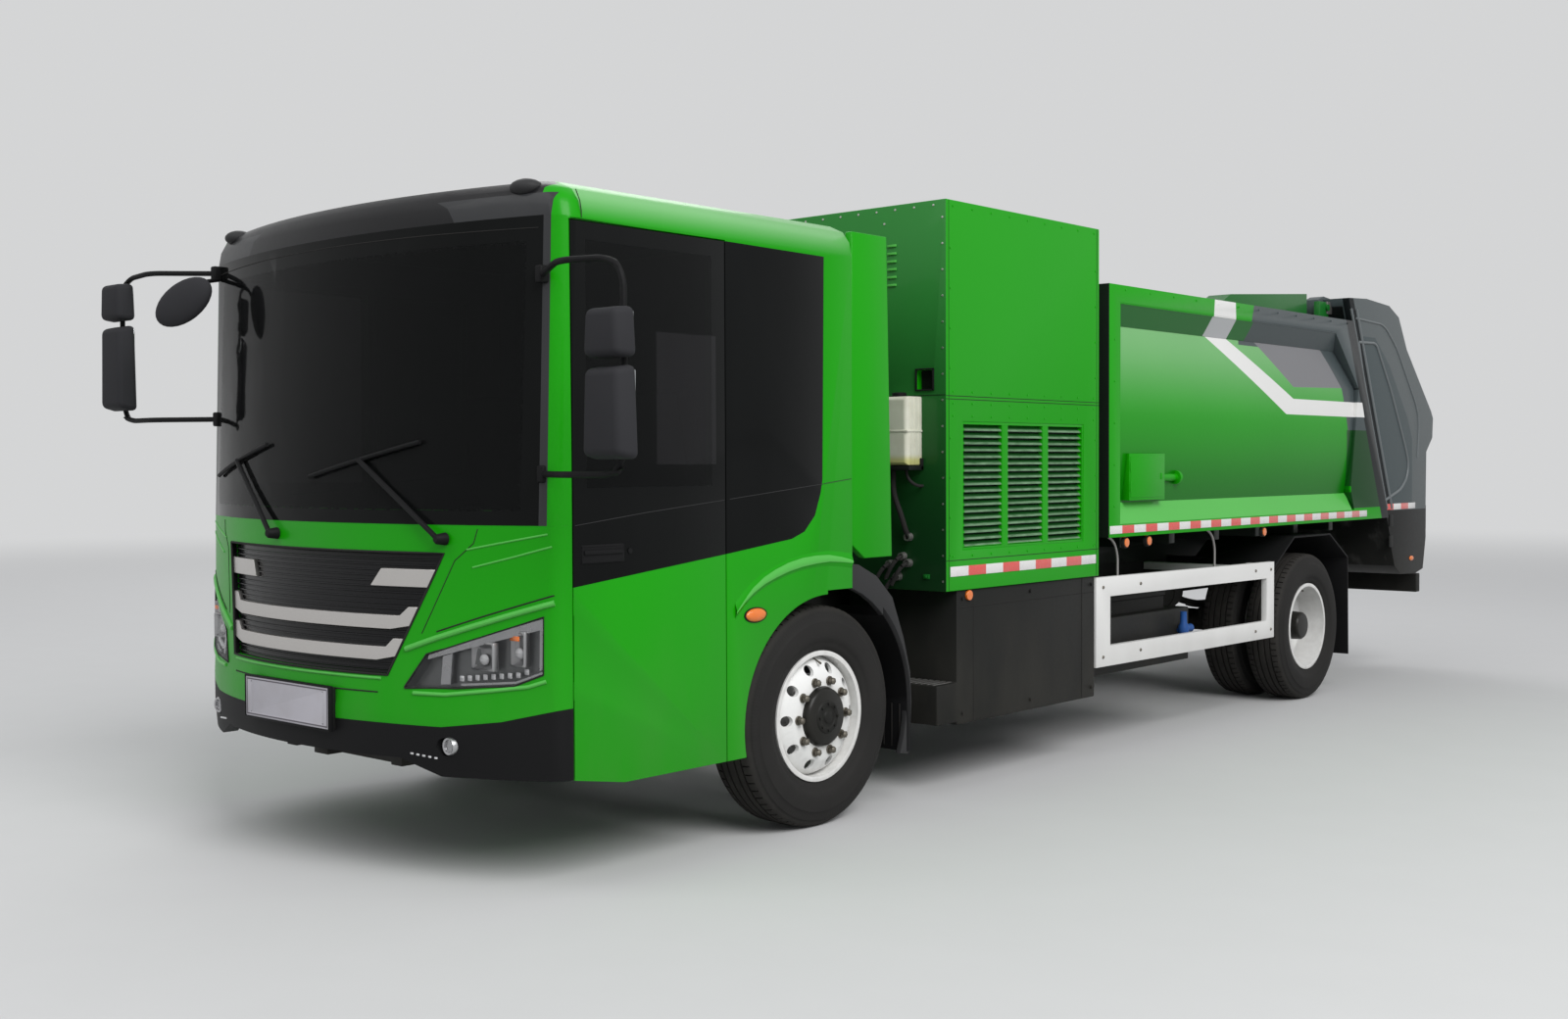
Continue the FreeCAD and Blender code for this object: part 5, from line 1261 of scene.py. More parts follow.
class TRUCK_OT_cab_fittings(bpy.types.Operator):
    """Door handles, turn lamps and roof lamps"""
    bl_idname = "truck.cab_fittings"
    bl_label = "Cab fittings"

    def execute(self, context):
        finish_pair(self.door_handle("door_handle_left"), "plastic", "door_left")
        self.turn_lamps()
        roof = bulge("roof_lamps", nose_point(1060, 2700) + Vector((0, 0.05, 0.06)), (0.075, 0.06, 0.036), 20)
        finish(both_sides(roof), "grey_plastic", "cab")
        return {"FINISHED"}

    def door_handle(self, name):
        """A recessed pull with its cup and lock barrel."""
        cup = bar(name + "_cup", (1270, -1500, 1288), (1277, -1272, 1362), 0.012, 3)
        with Editing(cup) as edit:
            edit.faces(lambda middle, normal: normal.x > 0.9)
            edit.inset(0.010)
            edit.inset(0.004, -0.004)
        grip = bar(name + "_grip", (1279, -1488, 1322), (1288, -1284, 1340), 0.004, 3)
        ends = [bar(name + "_end", (1272, y - 9, 1322), (1284, y + 9, 1340), 0.003) for y in (-1474, -1298)]
        lock = lathe(name + "_lock", [(0, 0.0), (0, 0.011), (0.004, 0.011), (0.005, 0.008), (0.004, 0.0)],
                     (1276, -1240, 1330), steps=20)
        return joined(name, [cup, grip, lock] + ends)

    def turn_lamps(self):
        """Oval turn lamps before the front wheels: a domed lens, cut flat behind, in an oval rim."""
        centre = at(1277, -493, 1018)
        dome = bulge("turn_lamps", centre, (0.019, 0.066, 0.030))
        with Editing(dome) as edit:
            edit.faces(lambda middle, normal: middle.x < centre.x - 0.019 * 0.3)
            bpy.ops.mesh.delete(type="FACE")
            edit.everything()
            bpy.ops.mesh.region_to_loop()
            bpy.ops.mesh.edge_face_add()
            edit.tidy()
        finish(both_sides(dome), "amber_lens", "cab", angle=60)
        rim_centre = at(1274, -493, 1018)
        rim = lathe("turn_lamp_rims", [(0, 0.025), (0, 0.034), (0.004, 0.034), (0.006, 0.029), (0.004, 0.025)],
                    rim_centre, steps=36)
        with Editing(rim) as edit:
            edit.everything()
            edit.resize((1, 2.15, 1), rim_centre)
        finish(both_sides(rim), "plastic", "cab")


class TRUCK_OT_headlamps(bpy.types.Operator):
    """Headlamps with their reflectors, and the fog lamps"""
    bl_idname = "truck.headlamps"
    bl_label = "Headlamps"

    def execute(self, context):
        finish(both_sides(self.housing()), "lamp_shell", "cab")
        lens_sheet = both_sides(nose_patch("headlamp_lenses", LAMP_LOW, LAMP_HIGH, -0.001, thickness=0.004))
        finish(lens_sheet, "clear_lens", "cab", ("front_lamps",))
        self.trim()
        self.optics()
        rim = [bow_point(x, z, 0.0015) for x, z in LAMP_LOW + LAMP_HIGH[::-1]]
        seal = pipe("headlamp_seals", rim + rim[:1], 0.0035)
        finish(both_sides(seal), "rubber", "cab")
        self.fog_lamps()
        return {"FINISHED"}

    def housing(self):
        """The headlamp's dark housing: a floor behind the lens and a wall all round."""
        floor = nose_patch("lamp_floor", LAMP_LOW, LAMP_HIGH, -LAMP_DEPTH, thickness=0.002)
        ring = [bow_point(x, z, 0.0005) for x, z in LAMP_LOW + LAMP_HIGH[::-1]]
        wall = line("lamp_wall", ring + ring[:1])
        with Editing(wall) as edit:
            edit.everything("EDGE")
            bpy.ops.mesh.extrude_edges_move(TRANSFORM_OT_translate={"value": (0, LAMP_DEPTH, 0)})
            edit.tidy()
        return joined("headlamp_housing", [floor, modify(wall, "SOLIDIFY", thickness=0.003, offset=0)])

    def trim(self):
        """Bright strips in the lamp: above, at the outer end, beside the low beam and along the foot."""
        upper = [(750, 909), (1212, 1042)]
        low, high = shifted(LAMP_LOW[1:], 8), shifted(LAMP_LOW[1:], 17)
        strips = [
            nose_patch("lamp_bezel", upper, shifted(LAMP_HIGH[1:], -5), -0.010, thickness=0.006),
            nose_patch("lamp_edge", [(1192, 880), (1206, 885)], [(1192, 1050), (1206, 1052)], -0.010, 2, 2, 0.006),
            nose_patch("lamp_column", [(806, 812), (846, 814)], [(806, 922), (846, 936)], -0.022, 3, 3, 0.012),
            nose_patch("lamp_foot", low, high, -0.012, 12, 1, 0.006)]
        on_both_sides("headlamp_trim", strips, "lamp_chrome", "cab")

    def optics(self):
        """Two bowls with their bulbs, the row of day lights and the small turn lamp; bulbs and day lights are pale
        as painted highlights.
        """
        bowls, glint_pieces = [], []
        for name, x0, x1, z0, z1, depth in REFLECTORS:
            bowl, bulb = self.reflector(name, x0, x1, z0, z1, depth)
            bowls.append(bowl)
            glint_pieces.append(bulb)
        for index in range(9):
            x = 890 + index * 31
            spot = bow_point(x, height_on(LAMP_LOW, x) + 36 + index * 0.6, -0.022)
            glint_pieces.append(block_at("lamp_chip", spot, (0.011, 0.004, 0.011), 0.003))
        on_both_sides("headlamp_reflectors", bowls, "lamp_bowl", "cab")
        on_both_sides("headlamp_bulbs", glint_pieces, "lamp_glow", "cab")
        turn = block_at("headlamp_turn_signals", bow_point(1100, 1002, -0.008), (0.026, 0.004, 0.010), 0.003)
        finish(both_sides(turn), "amber_lens", "cab")

    def reflector(self, name, x0, x1, z0, z1, depth):
        """A square reflector bowl that opens to the front, and the round lens in it."""
        front = bow_point((x0 + x1) / 2, (z0 + z1) / 2, -0.014).y
        low = Vector((x0 / 1000, front, z0 / 1000))
        high = Vector((x1 / 1000, front + depth, z1 / 1000))
        bowl = bar(name, low, high, 0.006, 2)
        with Editing(bowl) as edit:
            edit.faces(lambda middle, normal: normal.y < -0.9)
            edit.inset(0.005)
            edit.inset(0.012, -0.016)
            edit.inset(0.010, -0.008)
        spot = Vector(((low.x + high.x) / 2, front + 0.013, low.z * 0.62 + high.z * 0.38))
        return bowl, bulge(name + "_bulb", spot, (0.026, 0.013, 0.022), 20)

    def fog_lamps(self):
        """Round fog lamps in the bumper, with a short row of day lights beside each."""
        centre = bow_point(862, 574)
        bowl = lathe("fog_lamps", [(0.004, 0.0), (0.004, 0.024), (-0.004, 0.026), (-0.006, 0.033), (0.0, 0.0365),
                                   (0.03, 0.0365), (0.03, 0.0)], centre, "Y")
        finish(both_sides(bowl), "lamp_chrome", "cab")
        glass = bulge("fog_lenses", centre + Vector((0, 0.006, 0)), (0.026, 0.010, 0.026))
        finish(both_sides(glass), "clear_lens", "cab", angle=60)
        spots = [bow_point(700 + index * 26, 536 - index * 3, 0.001) for index in range(5)]
        lights = [block_at("day_light", spot, (0.008, 0.003, 0.004), 0.002) for spot in spots]
        # The day lights are pale as a painted highlight
        on_both_sides("day_lights", lights, "lamp_glow", "cab")


class TRUCK_OT_grille(bpy.types.Operator):
    """The grille with its slats and bright bars, the bumper and the blank plate"""
    bl_idname = "truck.grille"
    bl_label = "Grille and bumper"

    def execute(self, context):
        dressed("grille", "grille_field", "gloss_black", 0.002)
        dressed("grille_bars", "grille_bright_bars", "bright", 0.004, 30)
        dressed("bumper", "bumper_skin", "plastic", 0.004)
        dressed("number_plate", "blank_number_plate", "plate", 0.002)
        self.slats()
        self.edges()
        self.plate_frame()
        return {"FINISHED"}

    def slats(self):
        """Level slats between the slanted sides of the grille."""
        (low_x, low_z), (high_x, high_z) = GRILLE_CORNERS
        slats = []
        for index in range(21):
            z = low_z + 18 + index * 22
            half = low_x + (high_x - low_x) * (z - low_z) / (high_z - low_z) - 3
            points = [bow_point(-half + 2 * half * step / 12, z, -0.021) for step in range(13)]
            slats.append(pipe("grille_slat", points, 0.0038))
        in_the_middle("grille_slats", slats, "gloss_black", "cab")

    def edges(self):
        """The seal round the grille's opening, and the liner of its slanted sides."""
        (low_x, low_z), (high_x, high_z) = GRILLE_CORNERS
        ring = [(-high_x, high_z), (-low_x, low_z), (0, low_z), (low_x, low_z), (high_x, high_z), (0, high_z)]
        points = []
        for (x0, z0), (x1, z1) in zip(ring, ring[1:] + ring[:1]):
            points += [bow_point(x0 + (x1 - x0) * step / 6, z0 + (z1 - z0) * step / 6, 0.001) for step in range(6)]
        finish(pipe("grille_seal", points + points[:1], 0.005), "rubber", "cab")
        sides = []
        for side in (-1, 1):
            edge = [(side * (573 + 220 * step / 8), 841 + 485 * step / 8) for step in range(9)]
            rows = [[bow_point(x, z, depth) for x, z in edge] for depth in (-0.001, -0.022)]
            sides.append(skin("grille_liner", rows, 0.002))
        in_the_middle("grille_liner", sides, "gloss_black", "cab")

    def plate_frame(self):
        """A thin black holder round the blank plate."""
        low, high = PLATE_LOW, PLATE_HIGH
        rails = [bar("plate_holder", Vector((x0, low.y - 0.003, z0)), Vector((x1, low.y + 0.02, z1)))
                 for x0, z0, x1, z1 in ((low.x - 0.006, low.z - 0.008, high.x + 0.006, low.z + 0.002),
                                        (low.x - 0.006, high.z - 0.002, high.x + 0.006, high.z + 0.006),
                                        (low.x - 0.006, low.z - 0.004, low.x + 0.002, high.z + 0.004),
                                        (high.x - 0.002, low.z - 0.004, high.x + 0.006, high.z + 0.004))]
        in_the_middle("plate_holder", rails, "plastic", "cab")


class TRUCK_OT_glazing(bpy.types.Operator):
    """Windscreen, side glass, wipers and mirrors"""
    bl_idname = "truck.glazing"
    bl_label = "Glazing"

    def execute(self, context):
        dressed("cab_glass", "cab_glazing", "screen", 0.0008)
        dressed("wipers", "wiper_arms", "plastic", 0.0)
        profile = [(-0.05, 0.0), (-0.05, 0.013), (-0.042, 0.020), (0.0, 0.026), (0.0, 0.0)]
        caps = [lathe("wiper_cap", profile, bow_point(x, 1385, 0.004), "Y", 24) for x in (800, -250)]
        in_the_middle("wiper_caps", caps, "plastic", "cab")
        self.mirrors()
        return {"FINISHED"}

    def mirrors(self):
        """Mirror tubes, shells and glasses, at different heights on the two sides."""
        tubes, shells, glasses = [], [], []
        for levels in MIRROR_SETS:
            tubes += self.mirror_tubes(*levels)
            side, low, high, small_low, small_high = levels[:5]
            for z0, z1, half, deep in ((low, high, 0.117, 0.045), (small_low, small_high, 0.108, 0.046)):
                centre = at(side * MIRROR_X, MIRROR_Y, (z0 + z1) / 2)
                tall = (z1 - z0) / 2000
                shells.append(self.mirror_shell(centre, half, deep, tall))
                edge = 0.022
                glasses.append(bar("mirror_glass", centre + Vector((edge - half, deep - 0.008, edge - tall)),
                                   centre + Vector((half - edge, deep - 0.004, tall - edge)), 0.001))
        head = at(-1085, -1850, 2440)
        kerb = bulge("kerb_mirror", Vector(), (0.160, 0.045, 0.092), 32)
        set_at(kerb, Matrix.Translation(head) @ Matrix.Rotation(math.radians(30), 4, "Z")
               @ Matrix.Rotation(math.radians(-32), 4, "Y"))
        shells.append(kerb)
        arm = [head + Vector((0.02, 0.02, 0.03)), (-1110, -1760, 2540), (-1190, -1610, 2570)]
        tubes.append(pipe("kerb_arm", arm, 0.010, 0.03))
        in_the_middle("mirror_tubes", tubes, "plastic", "cab", ("mirrors",))
        in_the_middle("mirror_shells", shells, "soft_plastic", "cab")
        in_the_middle("mirror_glasses", glasses, "mirror", "cab")

    def mirror_tubes(self, side, low, high, small_low, small_high, arm_low, arm_high):
        """One bent tube from the upper foot to the lower one, with its feet and the mirrors' clamps."""
        x, y = side * MIRROR_X, MIRROR_Y + 45
        points = [(side * 1190, -1610, arm_high), (side * 1500, -1800, arm_high + 10),
                  (x - side * 40, y, arm_high + 4), (x + side * 30, y, arm_high - 45), (x + side * 35, y, small_low),
                  (x + side * 20, y, arm_low + 20), (x - side * 40, y, arm_low), (side * 1500, -1790, arm_low),
                  (side * 1190, -1610, arm_low)]
        tubes = [pipe("mirror_tube", points, 0.0125, 0.06, 6)]
        tubes += [bar("mirror_foot", (side * 1178, -1640, z - 34), (side * 1216, -1575, z + 34), 0.008, 3)
                  for z in (arm_low, arm_high)]
        tubes += [lathe("mirror_clamp", [(-0.02, 0.011), (-0.02, 0.021), (0.02, 0.021), (0.02, 0.011)],
                        (x + side * 31, y, z), "Z", 24)
                  for z in (low + 60, high - 60, small_low + 40, small_high - 40)]
        return tubes

    def mirror_shell(self, centre, half, deep, tall):
        """A mirror's rounded case, narrower at its back and top, with the glass's recess."""
        shell = block_at("mirror_shell", centre, (half, deep, tall), 0)
        with Editing(shell) as edit:
            edit.faces(lambda middle, normal: normal.y < -0.9)
            edit.resize((0.84, 1, 0.90), centre - Vector((0, deep, 0)))
            edit.faces(lambda middle, normal: normal.z > 0.6)
            edit.resize((0.88, 1, 1), centre + Vector((0, 0, tall)))
        rounded(shell, 0.026, 4)
        with Editing(shell) as edit:
            edit.faces(lambda middle, normal: normal.y > 0.95)
            edit.inset(0.007)
            edit.inset(0.003, -0.006)
        return shell


# Power cabinet and refuse body

class TRUCK_OT_power_cabinet(bpy.types.Operator):
    """The cabinet behind the cab, with its louvres, coolant tank, fittings and strip"""
    bl_idname = "truck.power_cabinet"
    bl_label = "Power cabinet"

    def execute(self, context):
        dressed("power_cabinet", "cabinet_shell", "cabinet", 0.004)
        dressed("cabinet_louvres", "cabinet_louvre_slats", "louvre", 0.0012)
        dressed("traction_battery", "battery_casing", "core", 0.006)
        dressed("expansion_tank", "coolant_tank", "tank", 0.006)
        core = bar("radiator_core", (1222, 1080, 1245), (1238, 2220, 1872), 0.002)
        finish(both_sides(core), "core", "chassis")
        self.fasteners()
        self.front_face()
        self.tank_fittings()
        self.hoses()
        strip = bar("cabinet_strips", (SIDE, CABINET_STRIP[0], 1103), (SIDE + 3, CABINET_STRIP[1], 1153), 0.0006)
        finish(both_sides(strip), "cabinet_strip", "chassis")
        return {"FINISHED"}

    def fasteners(self):
        """Seams and rows of screws on the sides, and rows of rivets on the front face."""
        seams = [pipe("cabinet_joint", [(SIDE, 925, z), (SIDE, 2398, z)], 0.0018) for z in (1996, 2012, 1184)]
        seams += [pipe("cabinet_joint", [(SIDE, y, 1035), (SIDE, y, 2986)], 0.0016) for y in (948, 2376)]
        seams.append(pipe("cabinet_joint", [(-SIDE, 922.5, 2016), (SIDE, 922.5, 2016)], 0.0016))
        on_both_sides("cabinet_joints", seams, "rubber", "chassis")
        places = [(0, y, z) for z in (1975, 2034, 2960) for y in range(985, 2360, 170)]
        places += [(0, y, z) for y in (962, 2362) for z in (1210, 1400, 1600, 1800, 2150, 2350, 2550, 2750)]
        places += [(0, y, z) for z in (1204, 1912) for y in range(985, 2360, 170)]
        screw = lathe("cabinet_screws", [(0, 0.0), (0, 0.0065), (0.0018, 0.0062), (0.0028, 0.004), (0.0028, 0.0)],
                      (SIDE, 0, 0), steps=12)
        finish(both_sides(repeated(screw, places)), "green", "chassis")
        places = [(x, 0, z) for x in (1255, 890) for z in range(1080, 2960, 130)]
        places += [(x, 0, 2965) for x in range(0, 1255, 120)]
        rivet = lathe("cabinet_rivets", [(0, 0.0), (0, 0.006), (-0.002, 0.0055), (-0.003, 0.0)], (0, 923, 0),
                      "Y", 12)
        finish(both_sides(repeated(rivet, places)), "bright", "chassis")

    def front_face(self):
        """The vents, the port's frame and the latch on the face behind the cab."""
        vents = [bar("front_vent", (912, 915, z), (968, 924, z + 12), 0.002) for z in range(2578, 2800, 40)]
        # The vents are painted paler green as a highlight
        on_both_sides("front_vents", vents, "light_green", "chassis")
        port = [bar("vent_frame", (x0, 914, z0), (x1, 925, z1), 0.002)
                for x0, z0, x1, z1 in ((1089, 2039, 1097, 2152), (1195, 2039, 1203, 2152),
                                       (1089, 2144, 1203, 2152), (1089, 2039, 1203, 2047))]
        port.append(bar("vent_back", (990, 960, 2030), (1202, 966, 2160), 0))
        in_the_middle("port_frame", port, "plastic", "chassis")
        latch = [bar("latch", (1138, 912, 1090), (1176, 923, 1114), 0.003),
                 bar("latch_grip", (1150, 906, 1096), (1164, 914, 1108), 0.002)]
        # The latch takes darker green as painted shade
        in_the_middle("cabinet_latch", latch, "deep_green", "chassis")

    def tank_fittings(self):
        """Cap, ribs and bracket of the coolant tank."""
        cap = lathe("tank_cap", [(0, 0.0), (0, 0.034), (0.022, 0.036), (0.028, 0.030), (0.028, 0.0)],
                    (1035, 855, 2004), "Z", 32)
        grips = around(bar("cap_grip", (1033, 818, 2006), (1037, 823, 2030), 0.001), 12, (1035, 855, 0), "Z")
        in_the_middle("tank_cap", [cap, grips], "plastic", "chassis")
        ribs = [bar("tank_rib", (932, y, 1668), (1131, y + 6, 2006), 0.002) for y in (824, 858, 892)]
        ribs.append(bar("tank_belt", (930, 790, 1832), (1133, 920, 1842), 0.002))
        in_the_middle("tank_ribs", ribs, "tank", "chassis")
        bracket = [bar("tank_bracket", (925, 800, 1640), (1138, 923, 1662), 0.003),
                   bar("tank_bracket", (1128, 900, 1640), (1138, 923, 1700), 0.003)]
        in_the_middle("tank_bracket", bracket, "black", "chassis")

    def hoses(self):
        """Hoses from the coolant tank and from the ports under it, with their fittings."""
        hoses = [pipe("hose", points, radius, corner, 6) for points, radius, corner in TANK_HOSES]
        hoses += [pipe("hose", [(x, 925, z), (x, 880, z), (x - 20, 850, z - 40), (x - 60, 850, z - 110)],
                       0.011, 0.03) for x, z in HOSE_PORTS]
        in_the_middle("cooling_hoses", hoses, "rubber", "chassis")
        rings = [lathe("fitting", [(-0.03, 0.012), (-0.03, 0.02), (0.0, 0.022), (0.0, 0.012)], (x, 923, z), "Y", 20)
                 for x, z in HOSE_PORTS + [(1050, 1300), (880, 1330)]]
        in_the_middle("hose_fittings", rings, "bare_steel", "chassis", slot="bright_trim")


class TRUCK_OT_refuse_body(bpy.types.Operator):
    """The refuse body with its strip, folded sheets, rivets, lamps and valve box"""
    bl_idname = "truck.refuse_body"
    bl_label = "Refuse body"

    def execute(self, context):
        dressed("refuse_body", "body_barrel", "body", 0.002)
        dressed("body_frame", "body_rails", "body", 0.004)
        dressed("service_box", "valve_box", "green", 0.004)
        # The hinge covers take darker green as painted shade
        dressed("tailgate_mounts", "hinge_covers", "deep_green", 0.004)
        dressed("marker_lamps", "marker_lenses", "amber_lens", 0.006, 50, 3)
        strip = bar("body_strip", (SIDE, BODY_STRIP[0], 1262), (SIDE + 2.5, BODY_STRIP[1], 1308), 0.0006)
        finish(both_sides(strip), "body_strip", "chassis")
        self.edges()
        self.fittings()
        return {"FINISHED"}

    def edges(self):
        """Weld beads, the folded sheets above and below the sides, and rivets."""
        beads = [pipe("weld_bead", [(1262, 2642, 1318), (1262, 5900, 1318)], 0.006),
                 pipe("weld_bead", [(1271, 2640, 1324), (1271, 2640, 2592)], 0.004),
                 pipe("weld_bead", [(1271, 2640, 2592), (1271, 5960, 2592)], 0.004)]
        on_both_sides("body_welds", beads, "body", "chassis")
        # The upper sheet takes the fold finish with its painted shade
        top = [[(x, y, z) for y in (2641, 5896)] for x, z in ((1273, 2594), (1236, 2530), (1199, 2470))]
        finish(both_sides(skin("top_fold", top)), "fold", "chassis")
        # The lower sheet takes paler green as a painted highlight
        bottom = [[(x, y, z) for y in (2641, 5995)] for x, z in ((1273, 1316), (1245, 1376), (1217, 1440))]
        finish(both_sides(skin("bottom_fold", bottom)), "light_green", "chassis")
        rivet = lathe("body_rivets", [(0, 0.0), (0, 0.007), (0.002, 0.0065), (0.0035, 0.004), (0.0035, 0.0)],
                      (SIDE, 0, 0), steps=12)
        places = [(0, y, 2672) for y in range(2700, 5900, 290)] + [(0, 2576, z) for z in range(1420, 2600, 240)]
        finish(both_sides(repeated(rivet, places)), "body", "chassis")

    def fittings(self):
        """Lamp rims, the valve box's door, stays under the edge and caps on the tailgate's hinges."""
        rims = [lathe("marker_rim", [(-0.036, 0.024), (-0.036, 0.033), (-0.014, 0.033), (-0.012, 0.0265),
                                     (-0.012, 0.024)], (SIDE, y, 1205), steps=28) for y in (2738, 3005, 4563)]
        on_both_sides("marker_rims", rims, "rubber", "chassis")
        in_the_middle("valve_box_door", self.box_door(), "green", "chassis")
        stays = [pipe("bent_bar", [(1235, y - 110, 1243), (1235, y - 60, 1235), (1235, y, 1150), (1235, y, 1000)],
                      0.008, 0.05) for y in (2680, 3900)]
        on_both_sides("guard_stays", stays, "bare_steel", "chassis")
        y, z = TAIL_PIVOT
        caps = [bar("hinge_cap", (x, y - 45, z - 45), (x + 6, y + 45, z + 45), 0.004) for x in (1100, 894)]
        on_both_sides("hinge_caps", caps, "bare_steel", "chassis")

    def box_door(self):
        """The valve box's door with its hinges, its latch and the bolted flange behind it."""
        plates = [bar("box_plate", low, high) for low, high in (
            ((1271, 2766, 1466), (1275, 3162, 1709)), ((1270, 2758, 1500), (1277, 2766, 1560)),
            ((1270, 2758, 1620), (1277, 2766, 1680)), ((1272, 3120, 1570), (1277, 3150, 1610)))]
        ring = lathe("flange_ring", [(-0.01, 0.022), (-0.01, 0.030), (0.01, 0.030), (0.01, 0.022)],
                     (1245, 3392, 1581), "Y", 32)
        bolt = lathe("flange_bolt", [(0, 0.0), (0, 0.006), (0.005, 0.006), (0.006, 0.003), (0.006, 0.0)],
                     (1245, 3377, 1614), "Y", 6)
        return plates + [ring, around(bolt, 6, (1245, 3377, 1581), "Y")]


# Tailgate

def seam_spot(z, offset):
    """A point on the tailgate's side, the given distance behind the seam at height z."""
    return at(TAIL_SIDE, SEAM_Y + offset - (z - SEAM_Z) * SEAM_LEAN, z)


class TRUCK_OT_tailgate(bpy.types.Operator):
    """The tailgate with its ridges, strips and lamps, and the parts that move in it"""
    bl_idname = "truck.tailgate"
    bl_label = "Tailgate"

    def execute(self, context):
        dressed("tailgate_shell", "tailgate_casing", "tail", 0.008, segments=3)
        dressed("tail_lamps", "tail_lenses", "red_lens", 0.004, segments=3)
        dressed("carriage", "packer_carriage", "grey", 0.004)
        dressed("packer_blade", "packer_plate", "grey", 0.004)
        dressed("ejector_plate", "ejector_wall", "grey", 0.004)
        dressed("bin_lifter", "bin_comb", "black", 0.003)
        self.side_forms()
        self.trim()
        return {"FINISHED"}

    def side_forms(self):
        """The two ridges of the slanted post, and those round the recessed panel and along the shoulder."""
        forms = [pipe("post_ridge", [seam_spot(z, offset) for z in (2790, 2540, 1560, 1310)], radius, 0.04)
                 for offset, radius in ((58, 0.010), (150, 0.013))]
        recess = [(TAIL_SIDE, y, z) for y, z in TAIL_RECESS]
        forms.append(pipe("recess_ridge", recess + recess[:1], 0.011, 0.05, 6))
        shoulder = [(TAIL_SIDE, y, z) for y, z in TAIL_SHOULDER]
        forms.append(pipe("shoulder_ridge", shoulder, 0.008, 0.09, 6))
        # The ridges are painted paler grey as a highlight
        on_both_sides("tailgate_ridges", forms, "tail_edge", "tailgate")

    def trim(self):
        """Reflective strips, frames of the rear lamps, side lamps and latches."""
        strip = bar("tail_strip", (TAIL_SIDE, TAIL_STRIP[0], 1298), (TAIL_SIDE + 2.5, TAIL_STRIP[1], 1344), 0.0006)
        finish(both_sides(strip), "tail_strip", "tailgate")
        low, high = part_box("tail_lamps")
        inner = Vector((high.x - 0.05, high.y - 0.03, low.z - 0.008))
        outer = Vector((high.x + 0.006, high.y - 0.006, high.z + 0.008))
        finish(both_sides(bar("tail_lamp_frames", inner, outer, 0.004)), "plastic", "tailgate")
        side = bulge("tail_side_lamp", (TAIL_SIDE, 7230, 905), (0.012, 0.042, 0.020))
        finish(both_sides(side), "amber_lens", "tailgate", angle=60)
        latches = [bar("tail_latch", (TAIL_SIDE - 4, 6760, z), (TAIL_SIDE + 8, 6830, z + 90), 0.005, 3)
                   for z in (1010, 1170)]
        on_both_sides("tail_latches", latches, "black", "tailgate")


# Chassis

